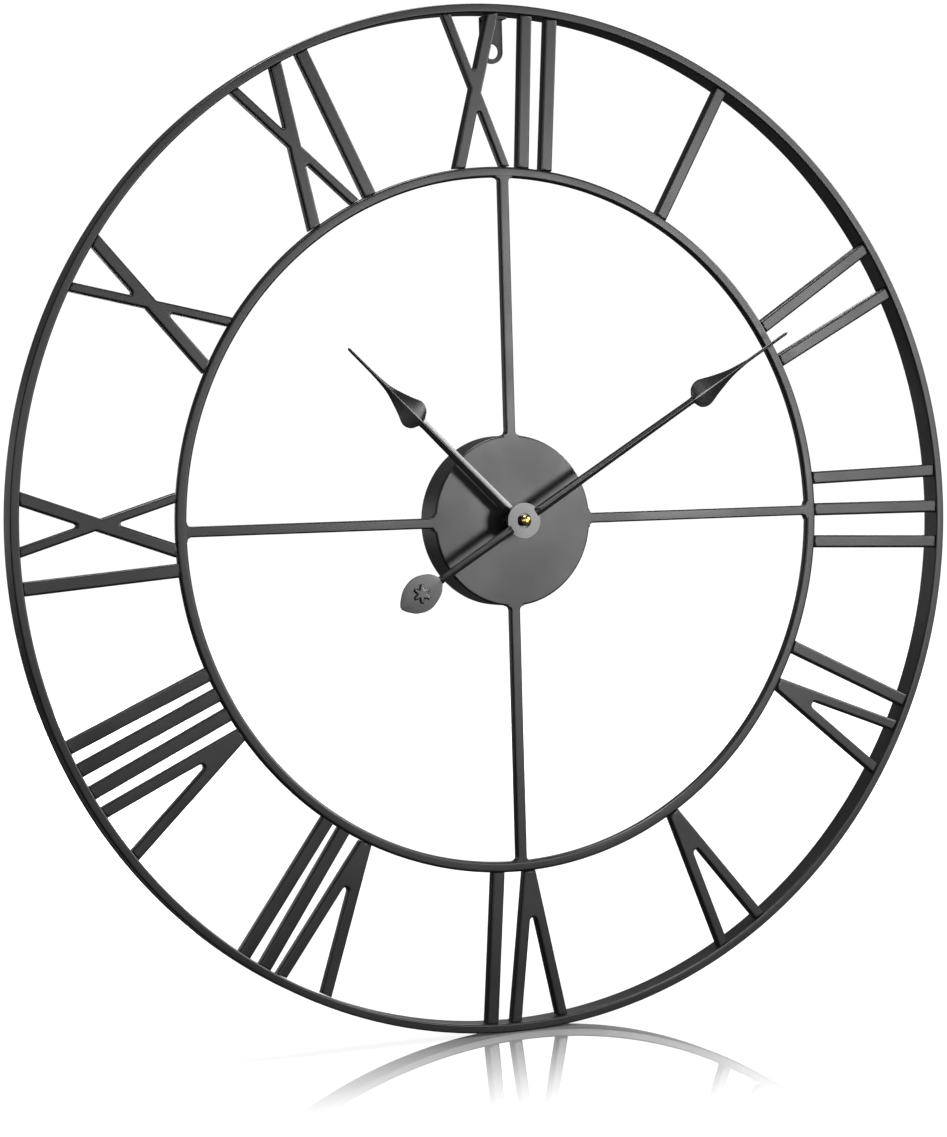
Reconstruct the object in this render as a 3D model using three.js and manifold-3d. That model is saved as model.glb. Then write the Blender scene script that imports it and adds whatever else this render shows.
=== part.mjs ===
// Wall clock: two welded steel rings joined by pressed Roman numerals, a hub cup on
// four spokes that hides a quartz movement, and a pair of creased spade hands.
// Millimetres. +X is right and +Z is up seen from the front, and the dial faces -Y.
// Every depth y is counted from the outer ring's front plane, towards the wall,
// and the whole clock is moved at the end so that its nail point is the origin.
import * as THREE from 'three';
import { mergeVertices } from 'three/addons/utils/BufferGeometryUtils.js';
import Module from 'manifold-3d';

const wasm = await Module();
wasm.setup();

// ---------------------------------------------------------------- shared fits
const GAP = 0.3;
const RUNNING = 0.3;
const DEG = Math.PI / 180;

// ---------------------------------------------------------------- rings
const OUTER_R = 300;
const OUTER_BAND = 5.2;
const OUTER_DEPTH = 14.8;
const RING_CHAMFER = 0.7;
const OUTER_SIDES = 128;
const BORE_R = OUTER_R - OUTER_BAND;
const FRAME_FRONT = 1.0;
const INNER_R = 206.1;
const INNER_BAND = 6.2;
const INNER_DEPTH = 5.3;
const INNER_SIDES = 104;
const INNER_BORE_R = INNER_R - INNER_BAND;

// ---------------------------------------------------------------- hub cup and spokes
const CUP_R = 49.9;
const CUP_WALL = 1.2;
const CUP_EDGE = 1.0;
const CUP_SIDES = 64;
const CUP_FACE_BACK = FRAME_FRONT + CUP_WALL;
const RIM_PROUD = 2.2;
const SPOKE_W = 6.0;
const SPOKE_DEPTH = INNER_DEPTH;
const SPOKE_EDGE = 0.9;
const WELD_FLARE = 2.2;
const SPOKE_COUNT = 4;

// ---------------------------------------------------------------- numerals
const STROKE_DEPTH = 5.2;
const STROKE_SHEET = 1.0;
const STROKE_EDGE = 1.1;
const END_GAP = 0.4;
const BAR_W = 7.8;
const V_LEG_W = 6.6;
const V_SPREAD = 30;
const V_FOOT_W = 7.6;
const V_CROTCH_UP = 27;
const V_CROTCH_R = 2.0;
const X_WIDE = 7.3;
const X_NARROW = 5.4;
const X_SPREAD = 29.3;
const X_CROTCH_R = 1.1;
const BAND_MID_R = (BORE_R + INNER_R) / 2;
const BAND_HALF = (BORE_R - INNER_R) / 2;

// Each character is set by hand: how far along the middle of the band it stands from
// the hour line, and its own lean in degrees.
const NUMERALS = [
  { hour: 12, marks: [['X', -16.2, 0], ['I', 14.9, -0.5], ['I', 30.6, -3.2]] },
  { hour: 1, marks: [['I', 0, -0.6]] },
  { hour: 2, marks: [['I', -13.6, 0], ['I', 14.0, -1.2]] },
  { hour: 3, marks: [['I', -21.0, 3.2], ['I', 0, 0.4], ['I', 21.0, -2.8]] },
  { hour: 4, marks: [['I', -25.4, 1.3], ['V', 3.1, -0.6]] },
  { hour: 5, marks: [['V', 0.9, -1.0]] },
  { hour: 6, marks: [['V', -6.6, -1.0], ['I', 18.8, 0]] },
  { hour: 7, marks: [['V', -7.4, -1.0], ['I', 13.6, 1.3], ['I', 26.7, 0]] },
  { hour: 8, marks: [['V', -17.0, -0.8], ['I', 3.9, 3.6], ['I', 17.5, 1.5], ['I', 31.0, -0.8]] },
  { hour: 9, marks: [['I', -24.5, 1.3], ['X', 5.7, 0]] },
  { hour: 10, marks: [['X', 0.9, 0]] },
  { hour: 11, marks: [['X', -4.4, 0], ['I', 24.0, -1.8]] },
];

// ---------------------------------------------------------------- hanger
const TAB_W = 14.4;
const TAB_SHEET = 1.5;
const TAB_HOLE_R = 4.5;
const TAB_TOP_GAP = 0.6;
const TAB_DROP = 19.6;
const TAB_FLANGE = 7.6;
const TAB_TOP_Z = BORE_R - TAB_TOP_GAP;
const TAB_HOLE_Z = TAB_TOP_Z - TAB_DROP;
const TAB_BACK = OUTER_DEPTH;
const NAIL_Z = TAB_HOLE_Z + TAB_HOLE_R;
const NAIL_Y = TAB_BACK - TAB_SHEET / 2;

// ---------------------------------------------------------------- hands
const HAND_SHEET = 0.7;
const HAND_CREASE = 1.3;
const HOUR_ANGLE = -46;
const MINUTE_ANGLE = 59;
const HOUR_FRONT = -7.4;
const MINUTE_FRONT = -13.6;
const HOUR_HUB_R = 8.8;
const MINUTE_HUB_R = 10.6;
const MINUTE_EYE_R = 4.5;
const STAR_AT = -77;
const STAR_R = 5.6;
const STAR_POINTS = 6;
const STAR_RISE = 0.9;
const STAR_FLAT = 0.17;
const STAR_WAIST = 0.56;
const BOW_STEPS = 13;
// Each hand is a list of stations: distance along the hand, half width, crease height
// as a share. The stem and the tip are straight runs and the bow is a smooth curve.
const HOUR_HAND = {
  stem: [[7, 3.2, 0.4], [11, 3.2, 1], [81, 2.5, 1]],
  bow: [[83.6, 2.7], [86.4, 7.2], [91.5, 8.9], [99, 6.0], [112, 2.0], [126, 0.95]],
  tip: [[143.6, 0.85, 0.7], [144.8, 0.4, 0.5]],
  crease: [1, 0.8],
};
const MINUTE_HAND = {
  stem: [[9, 2.6, 0.4], [13, 2.6, 1], [130.5, 2.0, 1]],
  bow: [[132.6, 2.2], [135.6, 6.8], [141.5, 8.4], [151, 5.6], [164, 2.4], [177, 1.0]],
  tip: [[208.6, 0.9, 0.7], [210, 0.4, 0.5]],
  crease: [1, 0.8],
};
const MINUTE_TAIL = {
  stem: [[9, 2.5, 0.4], [13, 2.5, 1], [60, 2.2, 1]],
  bow: [[63, 2.4], [67.5, 7.3], [76.5, 10.4], [85, 8.2], [90.4, 3.4]],
  tip: [[92, 1.0, 0.02]],
  crease: [0.3, 0.02],
};

// ---------------------------------------------------------------- movement
// Motion work: equal modules, so both pairs share one centre distance. Going train:
// every pinion has the same number of teeth. Tooth heights are shares of the module.
const TOOTH_TIP = 0.9;
const TOOTH_ROOT = 1.7;
const MOTION_MODULE = 0.5;
const CANNON_TEETH = 10;
const MOTION_TEETH = 30;
const MOTION_PINION_TEETH = 8;
const HOUR_TEETH = 32;
const KNOB_TEETH = 10;
const TRAIN_MODULE = 0.3;
const TRAIN_PINION = 8;
const CENTRE_TEETH = 64;
const THIRD_TEETH = 60;
const SECOND_TEETH = 48;
const INTER_TEETH = 40;

// The cell it takes sets the case: its thickness the depth, and the width is what its
// length needs, or what the cell's bay and the wheels above it need together.
const BATTERY_R = 7.1;
const BATTERY_L = 49;
const CELL_EDGE = 0.5;
const NUB_R = 2.7;
const NUB_L = 1.1;
const SPRING_L = 1.8;
const SPRING_R = 3.2;
const CONTACT_T = 0.4;
const CONTACT_W = 8;
const BAY_CLEAR = 0.35;
const CELL_SINK = 0.25;
const CASE_WALL = 1.2;
const BAY_WALL = 1.0;
const CASE_CORNER = 3;
const CELL_SPAN = BATTERY_L + NUB_L + SPRING_L + 3 * GAP + 2 * CONTACT_T;
const BAY_NEED = 2 * BATTERY_R + GAP + BAY_CLEAR + BAY_WALL;
const HOUR_WHEEL_R = tipRadius(HOUR_TEETH, MOTION_MODULE);
const CENTRE_WHEEL_R = tipRadius(CENTRE_TEETH, TRAIN_MODULE);
const WHEEL_NEED = Math.max(HOUR_WHEEL_R, CENTRE_WHEEL_R) + RUNNING;
const INSIDE = Math.max(CELL_SPAN / 2, BAY_NEED + WHEEL_NEED);
const CASE_W = 2 * (INSIDE + CASE_WALL);
const CASE_DEPTH = CASE_WALL + BAY_CLEAR + 2 * BATTERY_R + CELL_SINK;
const SPLIT_AT = 5.4;
const GASKET_T = 1.0;
const GASKET_R = 11;
const GASKET_FRONT = CUP_FACE_BACK + GAP;
const CASE_FRONT = GASKET_FRONT + GASKET_T + GAP;
const CASE_BACK = CASE_FRONT + CASE_DEPTH;
const CASE_INSIDE = CASE_FRONT + CASE_WALL;
const LID_FRONT = CASE_FRONT + SPLIT_AT + GAP / 2;
const LID_INSIDE = CASE_BACK - CASE_WALL;
const BATTERY_Z = BATTERY_R + GAP - INSIDE;
const CELL_Y = CASE_INSIDE + BAY_CLEAR + BATTERY_R;
const CELL_FROM = INSIDE - 2 * GAP - CONTACT_T - NUB_L - BATTERY_L;
const BAY_TOP = BATTERY_Z + BATTERY_R + BAY_CLEAR;
const BAY_WALL_TOP = BAY_TOP + BAY_WALL;
const CUP_BACK = CASE_BACK + RIM_PROUD;

const ARBOR_R = 1.25;
const PIPE_WALL = 0.85;
const PIPE_PROUD = 0.6;
const BUSH_WALL = 1.3;
const PIPE_BORE_R = ARBOR_R + RUNNING;
const PIPE_R = PIPE_BORE_R + PIPE_WALL;
const BUSH_BORE_R = PIPE_R + RUNNING;
const BUSH_R = BUSH_BORE_R + BUSH_WALL;
const BUSH_FRONT = -4.2;
const FACE_HOLE_R = BUSH_R + GAP;
const WASHER_R = 7.5;
const WASHER_T = 0.5;
const WASHER_FRONT = FRAME_FRONT - GAP - WASHER_T;
const NUT_ACROSS = 12;
const NUT_T = 2.5;
const NUT_FRONT = WASHER_FRONT - GAP - NUT_T;
const HAND_NUT_R = 3.1;
const HAND_NUT_DOME = 1.5;
const HAND_NUT_PROUD = 3.5;
const HAND_NUT_FRONT = MINUTE_FRONT - HAND_NUT_PROUD;
const COLLET_R = 6.0;
const COLLET_T = 0.9;
const COLLET_FRONT = MINUTE_FRONT + HAND_SHEET + GAP;
const HAND_NUT_BACK = COLLET_FRONT - GAP;
const ARBOR_GRIP = 2.2;
const ARBOR_FRONT = HAND_NUT_BACK - ARBOR_GRIP;

// Where the motion work stands in the case.
const MOTION_DIR = -5;
const KNOB_DIR = 35;
const MOTION_T = 0.9;
const HOUR_LAYER = CASE_INSIDE + GAP;
const CANNON_LAYER = HOUR_LAYER + MOTION_T + GAP;

// Going train: rotor, intermediate, second, third and centre wheel.
const TRAIN_T = 0.6;
const JOIN = 0.1;
const CENTRE_LAYER = CANNON_LAYER + MOTION_T + GAP;
const THIRD_LAYER = CENTRE_LAYER + TRAIN_T + GAP;
const SECOND_LAYER = THIRD_LAYER + TRAIN_T + GAP;
const INTER_LAYER = SECOND_LAYER + TRAIN_T + GAP;
const THIRD_DIR = 150;
const SECOND_DIR = 52;
const INTER_DIR = 10;
const ROTOR_DIR = -35;
const PIN_R = 0.45;
const PIN_CLEAR = 0.15;
const PIN_FRONT = CASE_INSIDE + GAP / 2;

// Motor: a magnet on the last arbor, inside a stator that carries the coil.
const MAGNET_R = 3.0;
const MAGNET_T = 2.0;
const MAGNET_LIFT = 1.0;
const MAGNET_FRONT = INTER_LAYER + MAGNET_LIFT;
const MAGNET_BACK = MAGNET_FRONT + MAGNET_T;
const STATOR_T = 1.0;
const STATOR_FRONT = MAGNET_FRONT + (MAGNET_T - STATOR_T) / 2;
const STATOR_BACK = STATOR_FRONT + STATOR_T;
const POLE_W = 1.4;
const LIMB_W = 3.0;
const CORE_H = 2.6;
const COIL_R = 3.1;
const COIL_L = 7.0;
const COIL_SHIFT = 0.8;
const COIL_CLEAR = 0.4;
const COIL_Z = INSIDE - COIL_R - COIL_CLEAR;

// Bridge, board and setting knob.
const BRIDGE_T = 0.8;
const BRIDGE_RIM = 3.0;
const BRIDGE_FRONT = MAGNET_BACK + GAP;
const BRIDGE_BACK = BRIDGE_FRONT + BRIDGE_T;
const PIVOT_END = BRIDGE_FRONT + BRIDGE_T / 2;
const BOARD_T = 0.8;
const BOARD_EDGE = 0.8;
const BOARD_STAND = 1.2;
const BOARD_RIGHT = 6;
const BOARD_FRONT = BRIDGE_BACK + BOARD_STAND;
const CRYSTAL_R = 1.0;
const CRYSTAL_L = 8.0;
const CHIP_W = 6.0;
const CHIP_T = 0.9;
const KNOB_RIBS = 24;
const KNOB_MODULE = 0.4;
const KNOB_CLEAR = 0.35;
const KNOB_PROUD = 0.8;
const KNOB_T = 3.0;
const KNOB_STEM_R = 1.2;
const KNOB_BACK = CASE_BACK + KNOB_PROUD;
const KNOB_FRONT = KNOB_BACK - KNOB_T;

// ---------------------------------------------------------------- axle places
// One axle from another: so far away, in a direction from +X towards +Z.
function from([x, z], distance, degrees) {
  return [x + distance * Math.cos(degrees * DEG), z + distance * Math.sin(degrees * DEG)];
}

// Centre distance of a meshing pair.
function apart(module, teeth, otherTeeth) {
  return (module * (teeth + otherTeeth)) / 2;
}
const CENTRE = [0, 0];
const MOTION_AT = from(CENTRE, apart(MOTION_MODULE, CANNON_TEETH, MOTION_TEETH), MOTION_DIR);
const KNOB_AT = from(MOTION_AT, apart(MOTION_MODULE, KNOB_TEETH, MOTION_TEETH), KNOB_DIR);
const THIRD_AT = from(CENTRE, apart(TRAIN_MODULE, CENTRE_TEETH, TRAIN_PINION), THIRD_DIR);
const SECOND_AT = from(THIRD_AT, apart(TRAIN_MODULE, THIRD_TEETH, TRAIN_PINION), SECOND_DIR);
const INTER_AT = from(SECOND_AT, apart(TRAIN_MODULE, SECOND_TEETH, TRAIN_PINION), INTER_DIR);
const ROTOR_AT = from(INTER_AT, apart(TRAIN_MODULE, INTER_TEETH, TRAIN_PINION), ROTOR_DIR);

// ---------------------------------------------------------------- solid helpers

// Welds coincident points, drops flat triangles and turns the faces outwards.
function closed(geometry) {
  const bare = geometry.clone();
  bare.deleteAttribute('normal');
  bare.deleteAttribute('uv');
  const merged = mergeVertices(bare, 1e-4);
  const index = merged.index.array;
  const points = merged.attributes.position;
  const kept = [];
  const a = new THREE.Vector3();
  const b = new THREE.Vector3();
  const c = new THREE.Vector3();
  let volume = 0;
  for (let i = 0; i < index.length; i += 3) {
    const same = index[i] === index[i + 1] || index[i + 1] === index[i + 2] || index[i] === index[i + 2];
    if (same) continue;
    a.fromBufferAttribute(points, index[i]);
    b.fromBufferAttribute(points, index[i + 1]);
    c.fromBufferAttribute(points, index[i + 2]);
    volume += a.dot(b.cross(c));
    kept.push(index[i], index[i + 1], index[i + 2]);
  }
  if (volume < 0) kept.reverse();
  merged.setIndex(kept);
  return merged;
}

// Hands a geometry to the boolean library.
function solid(geometry) {
  const clean = closed(geometry);
  return new wasm.Manifold(new wasm.Mesh({
    numProp: 3,
    vertProperties: new Float32Array(clean.attributes.position.array),
    triVerts: new Uint32Array(clean.index.array),
  }));
}

// Turns a boolean result back into a geometry.
function geometryOf(body) {
  const mesh = body.getMesh();
  const geometry = new THREE.BufferGeometry();
  geometry.setAttribute('position', new THREE.BufferAttribute(new Float32Array(mesh.vertProperties), 3));
  geometry.setIndex(new THREE.BufferAttribute(new Uint32Array(mesh.triVerts), 1));
  return geometry;
}

// Adds a list of geometries into one body.
function fuse(list) {
  return list.map(solid).reduce((sum, next) => sum.add(next));
}

// Takes each tool geometry away from a body.
function cut(body, tools) {
  return tools.map(solid).reduce((rest, tool) => rest.subtract(tool), body);
}

// A plate whose outline lies in the dial plane, from depth `front` back by `thick`.
function plate(shape, front, thick, curve = 6) {
  const geometry = new THREE.ExtrudeGeometry(shape, {
    depth: thick,
    bevelEnabled: false,
    curveSegments: curve,
  });
  geometry.translate(0, 0, -(front + thick));
  return geometry.rotateX(Math.PI / 2);
}

// A plate grown or shrunk by `grow` all round its outline.
function offsetPlate(shape, front, thick, grow) {
  const geometry = new THREE.ExtrudeGeometry(shape, {
    depth: thick - 0.02,
    bevelEnabled: true,
    bevelThickness: 0.01,
    bevelSize: 0,
    bevelOffset: grow,
    bevelSegments: 1,
    curveSegments: 4,
  });
  geometry.translate(0, 0, -(front + thick) + 0.01);
  return geometry.rotateX(Math.PI / 2);
}

// A plate with rounded edges on both faces; `steps` facets round each edge.
function roundedPlate(shape, front, thick, edge, steps = 2) {
  const geometry = new THREE.ExtrudeGeometry(shape, {
    depth: thick - 2 * edge,
    bevelEnabled: true,
    bevelThickness: edge,
    bevelSize: edge,
    bevelOffset: -edge,
    bevelSegments: steps,
    curveSegments: 4,
  });
  geometry.translate(0, 0, -(front + thick) + edge);
  return geometry.rotateX(Math.PI / 2);
}

// A box given by its low and high corners.
function box(x0, y0, z0, x1, y1, z1) {
  const geometry = new THREE.BoxGeometry(x1 - x0, y1 - y0, z1 - z0);
  return geometry.translate((x0 + x1) / 2, (y0 + y1) / 2, (z0 + z1) / 2);
}

// A body turned about the depth axis from a closed list of [radius, depth] points.
function turned(profile, sides) {
  const points = profile.map(([r, y]) => new THREE.Vector2(r, y));
  points.push(points[0].clone());
  return closed(new THREE.LatheGeometry(points, sides));
}

// A round bar along the depth axis.
function rod(r, front, back, sides = 20) {
  return turned([[0, front], [r, front], [r, back], [0, back]], sides);
}

// A round tube along the depth axis.
function tube(r, bore, front, back, sides = 24) {
  return turned([[bore, front], [r, front], [r, back], [bore, back]], sides);
}

// A straight-sided outline from a list of points.
function outline(points) {
  return new THREE.Shape(points.map(([x, z]) => new THREE.Vector2(x, z)));
}

// A rectangle outline with rounded corners, centred at (x, z).
function roundedRect(w, h, r, x = 0, z = 0) {
  const shape = new THREE.Shape();
  shape.moveTo(x - w / 2 + r, z - h / 2);
  shape.lineTo(x + w / 2 - r, z - h / 2);
  shape.absarc(x + w / 2 - r, z - h / 2 + r, r, -Math.PI / 2, 0);
  shape.lineTo(x + w / 2, z + h / 2 - r);
  shape.absarc(x + w / 2 - r, z + h / 2 - r, r, 0, Math.PI / 2);
  shape.lineTo(x - w / 2 + r, z + h / 2);
  shape.absarc(x - w / 2 + r, z + h / 2 - r, r, Math.PI / 2, Math.PI);
  shape.lineTo(x - w / 2, z - h / 2 + r);
  shape.absarc(x - w / 2 + r, z - h / 2 + r, r, Math.PI, 1.5 * Math.PI);
  return shape;
}

// A disc outline.
function disc(r, sides) {
  const points = [];
  for (let i = 0; i < sides; i += 1) {
    const t = (2 * Math.PI * i) / sides;
    points.push([r * Math.cos(t), r * Math.sin(t)]);
  }
  return outline(points);
}

// ---------------------------------------------------------------- materials
function coat(name, colour, roughness, metalness) {
  return new THREE.MeshStandardMaterial({ name, color: colour, roughness, metalness });
}
const charcoal = () => coat('charcoal_paint', 0x2b2c2e, 0.5, 0.25);
const handPaint = () => coat('hand_paint', 0x3a3b3d, 0.35, 0.4);
const brass = () => coat('brass', 0xb08d3c, 0.3, 0.9);
const steel = () => coat('bright_steel', 0xa8abae, 0.35, 0.9);
const casePlastic = () => coat('case_plastic', 0x1c1c1e, 0.55, 0);
const gearPlastic = () => coat('gear_plastic', 0xe6e2d6, 0.45, 0);
const boardGreen = () => coat('board', 0x1f5a36, 0.5, 0);
const copper = () => coat('copper_wire', 0xb4652f, 0.35, 0.8);
const rubber = () => coat('rubber', 0x141414, 0.85, 0);
const cellWrap = () => coat('cell_wrap', 0x2f5f8f, 0.35, 0.1);

const clock = new THREE.Group();
clock.name = 'wall_clock';
clock.position.set(0, -NAIL_Y, -NAIL_Z);

// Puts a named piece into the clock; `target` is the group it belongs to.
function piece(name, body, material, target = clock) {
  const geometry = body.isBufferGeometry ? body : geometryOf(body);
  const flat = geometry.toNonIndexed();
  flat.computeVertexNormals();
  const mesh = new THREE.Mesh(flat, material);
  mesh.name = name;
  target.add(mesh);
  return mesh;
}

// ---------------------------------------------------------------- rings
function ringBody(rOut, rIn, front, depth, sides) {
  const k = RING_CHAMFER;
  const back = front + depth;
  return turned([
    [rIn + k, front], [rOut - k, front], [rOut, front + k], [rOut, back - k],
    [rOut - k, back], [rIn + k, back], [rIn, back - k], [rIn, front + k],
  ], sides);
}
piece('outer_ring', ringBody(OUTER_R, BORE_R, 0, OUTER_DEPTH, OUTER_SIDES), charcoal());
piece('inner_ring', ringBody(INNER_R, INNER_BORE_R, FRAME_FRONT, INNER_DEPTH, INNER_SIDES), charcoal());

// ---------------------------------------------------------------- hub cup
function hubCup() {
  const wallIn = CUP_R - CUP_WALL;
  const e = CUP_EDGE;
  const half = e * (1 - Math.SQRT1_2);
  return turned([
    [FACE_HOLE_R, FRAME_FRONT], [CUP_R - e, FRAME_FRONT], [CUP_R - half, FRAME_FRONT + half],
    [CUP_R, FRAME_FRONT + e], [CUP_R, CUP_BACK], [wallIn, CUP_BACK],
    [wallIn, CUP_FACE_BACK], [FACE_HOLE_R, CUP_FACE_BACK],
  ], CUP_SIDES);
}
piece('hub_cup', hubCup(), charcoal());

// ---------------------------------------------------------------- spokes
// A spoke runs out from the cup, widening where its welds flow into cup and ring.
function spokeBody() {
  const half = SPOKE_W / 2;
  const from = CUP_R - 2;
  const to = INNER_BORE_R + 2;
  const f = WELD_FLARE;
  const start = CUP_R + GAP;
  const end = INNER_BORE_R - GAP;
  const edge = [
    [from, half + f], [start, half + f], [start + f * 0.3, half + f * 0.35],
    [start + f, half], [end - f, half], [end - f * 0.3, half + f * 0.35],
    [end, half + f], [to, half + f],
  ];
  const points = edge.map(([z, x]) => [x, z]);
  const other = edge.map(([z, x]) => [-x, z]).reverse();
  const bar = solid(roundedPlate(outline(points.concat(other)), FRAME_FRONT, SPOKE_DEPTH, SPOKE_EDGE));
  const reach = FRAME_FRONT + SPOKE_DEPTH + 1;
  const inside = rod(CUP_R + GAP, FRAME_FRONT - 1, reach, CUP_SIDES * 2);
  const outside = tube(INNER_R, INNER_BORE_R - GAP, FRAME_FRONT - 1, reach, INNER_SIDES);
  return geometryOf(cut(bar, [inside, outside]));
}
for (let i = 0; i < SPOKE_COUNT; i += 1) {
  const spoke = piece(`spoke_${i * 12 / SPOKE_COUNT || 12}`, spokeBody(), charcoal());
  spoke.rotation.y = (2 * Math.PI * i) / SPOKE_COUNT;
}

// ---------------------------------------------------------------- numerals
// How far a stroke may reach from the band's middle so that its corners clear both rings.
function reachOf(halfWidth, lean) {
  const side = halfWidth * Math.sin(Math.abs(lean));
  const sway = halfWidth + BAND_HALF * Math.sin(Math.abs(lean));
  const top = BORE_R - END_GAP;
  const out = (Math.sqrt(top * top - sway * sway) - BAND_MID_R - side) / Math.cos(lean);
  const inward = (BAND_MID_R - INNER_R - END_GAP - side) / Math.cos(lean);
  return { out, inward };
}

// A small arc of points that rounds the corner of a crotch.
function crotch(x, z, r, from, to, steps) {
  const points = [];
  for (let i = 0; i <= steps; i += 1) {
    const t = (from + ((to - from) * i) / steps) * DEG;
    points.push([x + r * Math.cos(t), z + r * Math.sin(t)]);
  }
  return points;
}

// Upright bar.
function barOutline(lean) {
  const h = BAR_W / 2;
  const { out, inward } = reachOf(h, lean);
  return outline([[-h, -inward], [h, -inward], [h, out], [-h, out]]);
}

// One-piece V: a foot at the inner ring and two legs to the outer ring.
function veeOutline(lean) {
  const spread = V_SPREAD / 2;
  const { out, inward } = reachOf(spread + V_LEG_W / 2, lean);
  const foot = V_FOOT_W / 2;
  const across = V_LEG_W / 2 / Math.cos(Math.atan2(spread - foot, out + inward));
  const innerTop = spread - across;
  const rise = V_CROTCH_UP - inward;
  const tilt = Math.atan2(innerTop - V_CROTCH_R, out - rise) / DEG;
  const arc = crotch(0, rise + V_CROTCH_R, V_CROTCH_R, -tilt, tilt - 180, 4);
  return outline([
    [-foot, -inward], [foot, -inward], [spread + across, out], [innerTop, out],
    ...arc, [-innerTop, out], [-spread - across, out],
  ]);
}

// One-piece X: a wide stroke up to the right and a narrow one up to the left.
function exOutline(lean) {
  const spread = X_SPREAD / 2;
  const { out, inward } = reachOf(spread + X_WIDE / 2, lean);
  const low = -inward;
  const slope = (2 * spread) / (out - low);
  const tilt = Math.atan(slope);
  const wide = X_WIDE / 2 / Math.cos(tilt);
  const narrow = X_NARROW / 2 / Math.cos(tilt);
  const mid = (out + low) / 2;
  const waist = (wide + narrow) / 2;
  const shift = (wide - narrow) / 2;
  const centre = waist / slope + X_CROTCH_R / Math.sin(tilt);
  const lean1 = tilt / DEG;
  const top = crotch(-shift, mid + centre, X_CROTCH_R, -lean1, lean1 - 180, 3);
  const bottom = crotch(shift, mid - centre, X_CROTCH_R, 180 - lean1, lean1, 3);
  return outline([
    [-spread - wide, low], [-spread + wide, low], ...bottom,
    [spread - narrow, low], [spread + narrow, low], [waist, mid - shift / slope],
    [spread + wide, out], [spread - wide, out], ...top,
    [-spread + narrow, out], [-spread - narrow, out], [-waist, mid + shift / slope],
  ]);
}

// A pressed stroke: a shallow tray of sheet, rounded in front and open at the back.
function pressed(shape) {
  const back = FRAME_FRONT + STROKE_DEPTH;
  const full = solid(roundedPlate(shape, FRAME_FRONT, STROKE_DEPTH + 2 * STROKE_EDGE, STROKE_EDGE));
  const far = OUTER_R;
  const behind = box(-far, back, -far, far, back + 10, far);
  const hollow = offsetPlate(shape, FRAME_FRONT + STROKE_SHEET, STROKE_DEPTH, -STROKE_SHEET);
  return geometryOf(cut(full, [behind, hollow]));
}

const OUTLINES = { I: barOutline, V: veeOutline, X: exOutline };
for (const { hour, marks } of NUMERALS) {
  marks.forEach(([letter, at, lean], i) => {
    const shape = OUTLINES[letter](lean * DEG);
    const turn = new THREE.Group();
    turn.rotation.y = hour * 30 * DEG + at / BAND_MID_R;
    clock.add(turn);
    const stroke = piece(`hour_${hour}_${letter}_${i + 1}`, pressed(shape), charcoal(), turn);
    stroke.position.z = BAND_MID_R;
    stroke.rotation.y = lean * DEG;
  });
}

// ---------------------------------------------------------------- hanger
// An angle bracket: a flange under the outer ring and a tab with the nail hole.
function hanger() {
  const half = TAB_W / 2;
  const tab = new THREE.Shape();
  tab.moveTo(half, TAB_TOP_Z);
  tab.lineTo(-half, TAB_TOP_Z);
  tab.lineTo(-half, TAB_HOLE_Z);
  tab.absarc(0, TAB_HOLE_Z, half, Math.PI, 2 * Math.PI);
  const hole = new THREE.Path();
  hole.absarc(0, TAB_HOLE_Z, TAB_HOLE_R, 0, 2 * Math.PI, true);
  tab.holes.push(hole);
  const sheet = plate(tab, TAB_BACK - TAB_SHEET, TAB_SHEET, 12);
  const low = TAB_TOP_Z - TAB_SHEET;
  const flange = box(-half, TAB_BACK - TAB_FLANGE, low, half, TAB_BACK, TAB_TOP_Z);
  return geometryOf(fuse([sheet, flange]));
}
piece('hanger', hanger(), charcoal());

// ---------------------------------------------------------------- hands
// A creased strip of sheet: at each station a roof-shaped section of its own width.
function creased(stations, front) {
  const points = [];
  const faces = [];
  for (const [along, half, share] of stations) {
    const peak = front - HAND_CREASE * share;
    points.push([-half, front, along], [0, peak, along], [half, front, along]);
    points.push([half, front + HAND_SHEET, along], [0, peak + HAND_SHEET, along]);
    points.push([-half, front + HAND_SHEET, along]);
  }
  const ring = 6;
  const last = (stations.length - 1) * ring;
  for (let s = 0; s < last; s += ring) {
    for (let k = 0; k < ring; k += 1) {
      const a = s + k;
      const b = s + ((k + 1) % ring);
      faces.push(a, b, a + ring, b, b + ring, a + ring);
    }
  }
  const caps = [[0, 1, 4], [0, 4, 5], [1, 2, 3], [1, 3, 4]];
  for (const [a, b, c] of caps) {
    faces.push(a, c, b);
    faces.push(last + a, last + b, last + c);
  }
  const geometry = new THREE.BufferGeometry();
  geometry.setAttribute('position', new THREE.Float32BufferAttribute(points.flat(), 3));
  geometry.setIndex(faces);
  return geometry;
}

// All the stations of one arm of a hand, its bow sampled along a smooth curve.
function stationsOf({ stem, bow, tip, crease }) {
  const curve = new THREE.SplineCurve(bow.map(([along, half]) => new THREE.Vector2(along, half)));
  const smooth = curve.getPoints(BOW_STEPS).map((at, i) => (
    [at.x, at.y, THREE.MathUtils.lerp(crease[0], crease[1], i / BOW_STEPS)]
  ));
  return [...stem, ...smooth, ...tip];
}

// Stations turned round to run the other way from the hub.
function reversed(stations) {
  return stations.map(([along, half, share]) => [-along, half, share]).reverse();
}

// A star outline with rounded-off points.
function star(x, z) {
  const points = [];
  for (let i = 0; i < STAR_POINTS; i += 1) {
    const t = (2 * Math.PI * i) / STAR_POINTS;
    const reach = [[-STAR_FLAT, 1], [STAR_FLAT, 1], [Math.PI / STAR_POINTS, STAR_WAIST]];
    for (const [dt, r] of reach) {
      points.push([x + STAR_R * r * Math.sin(t + dt), z + STAR_R * r * Math.cos(t + dt)]);
    }
  }
  return outline(points.reverse());
}

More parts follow.
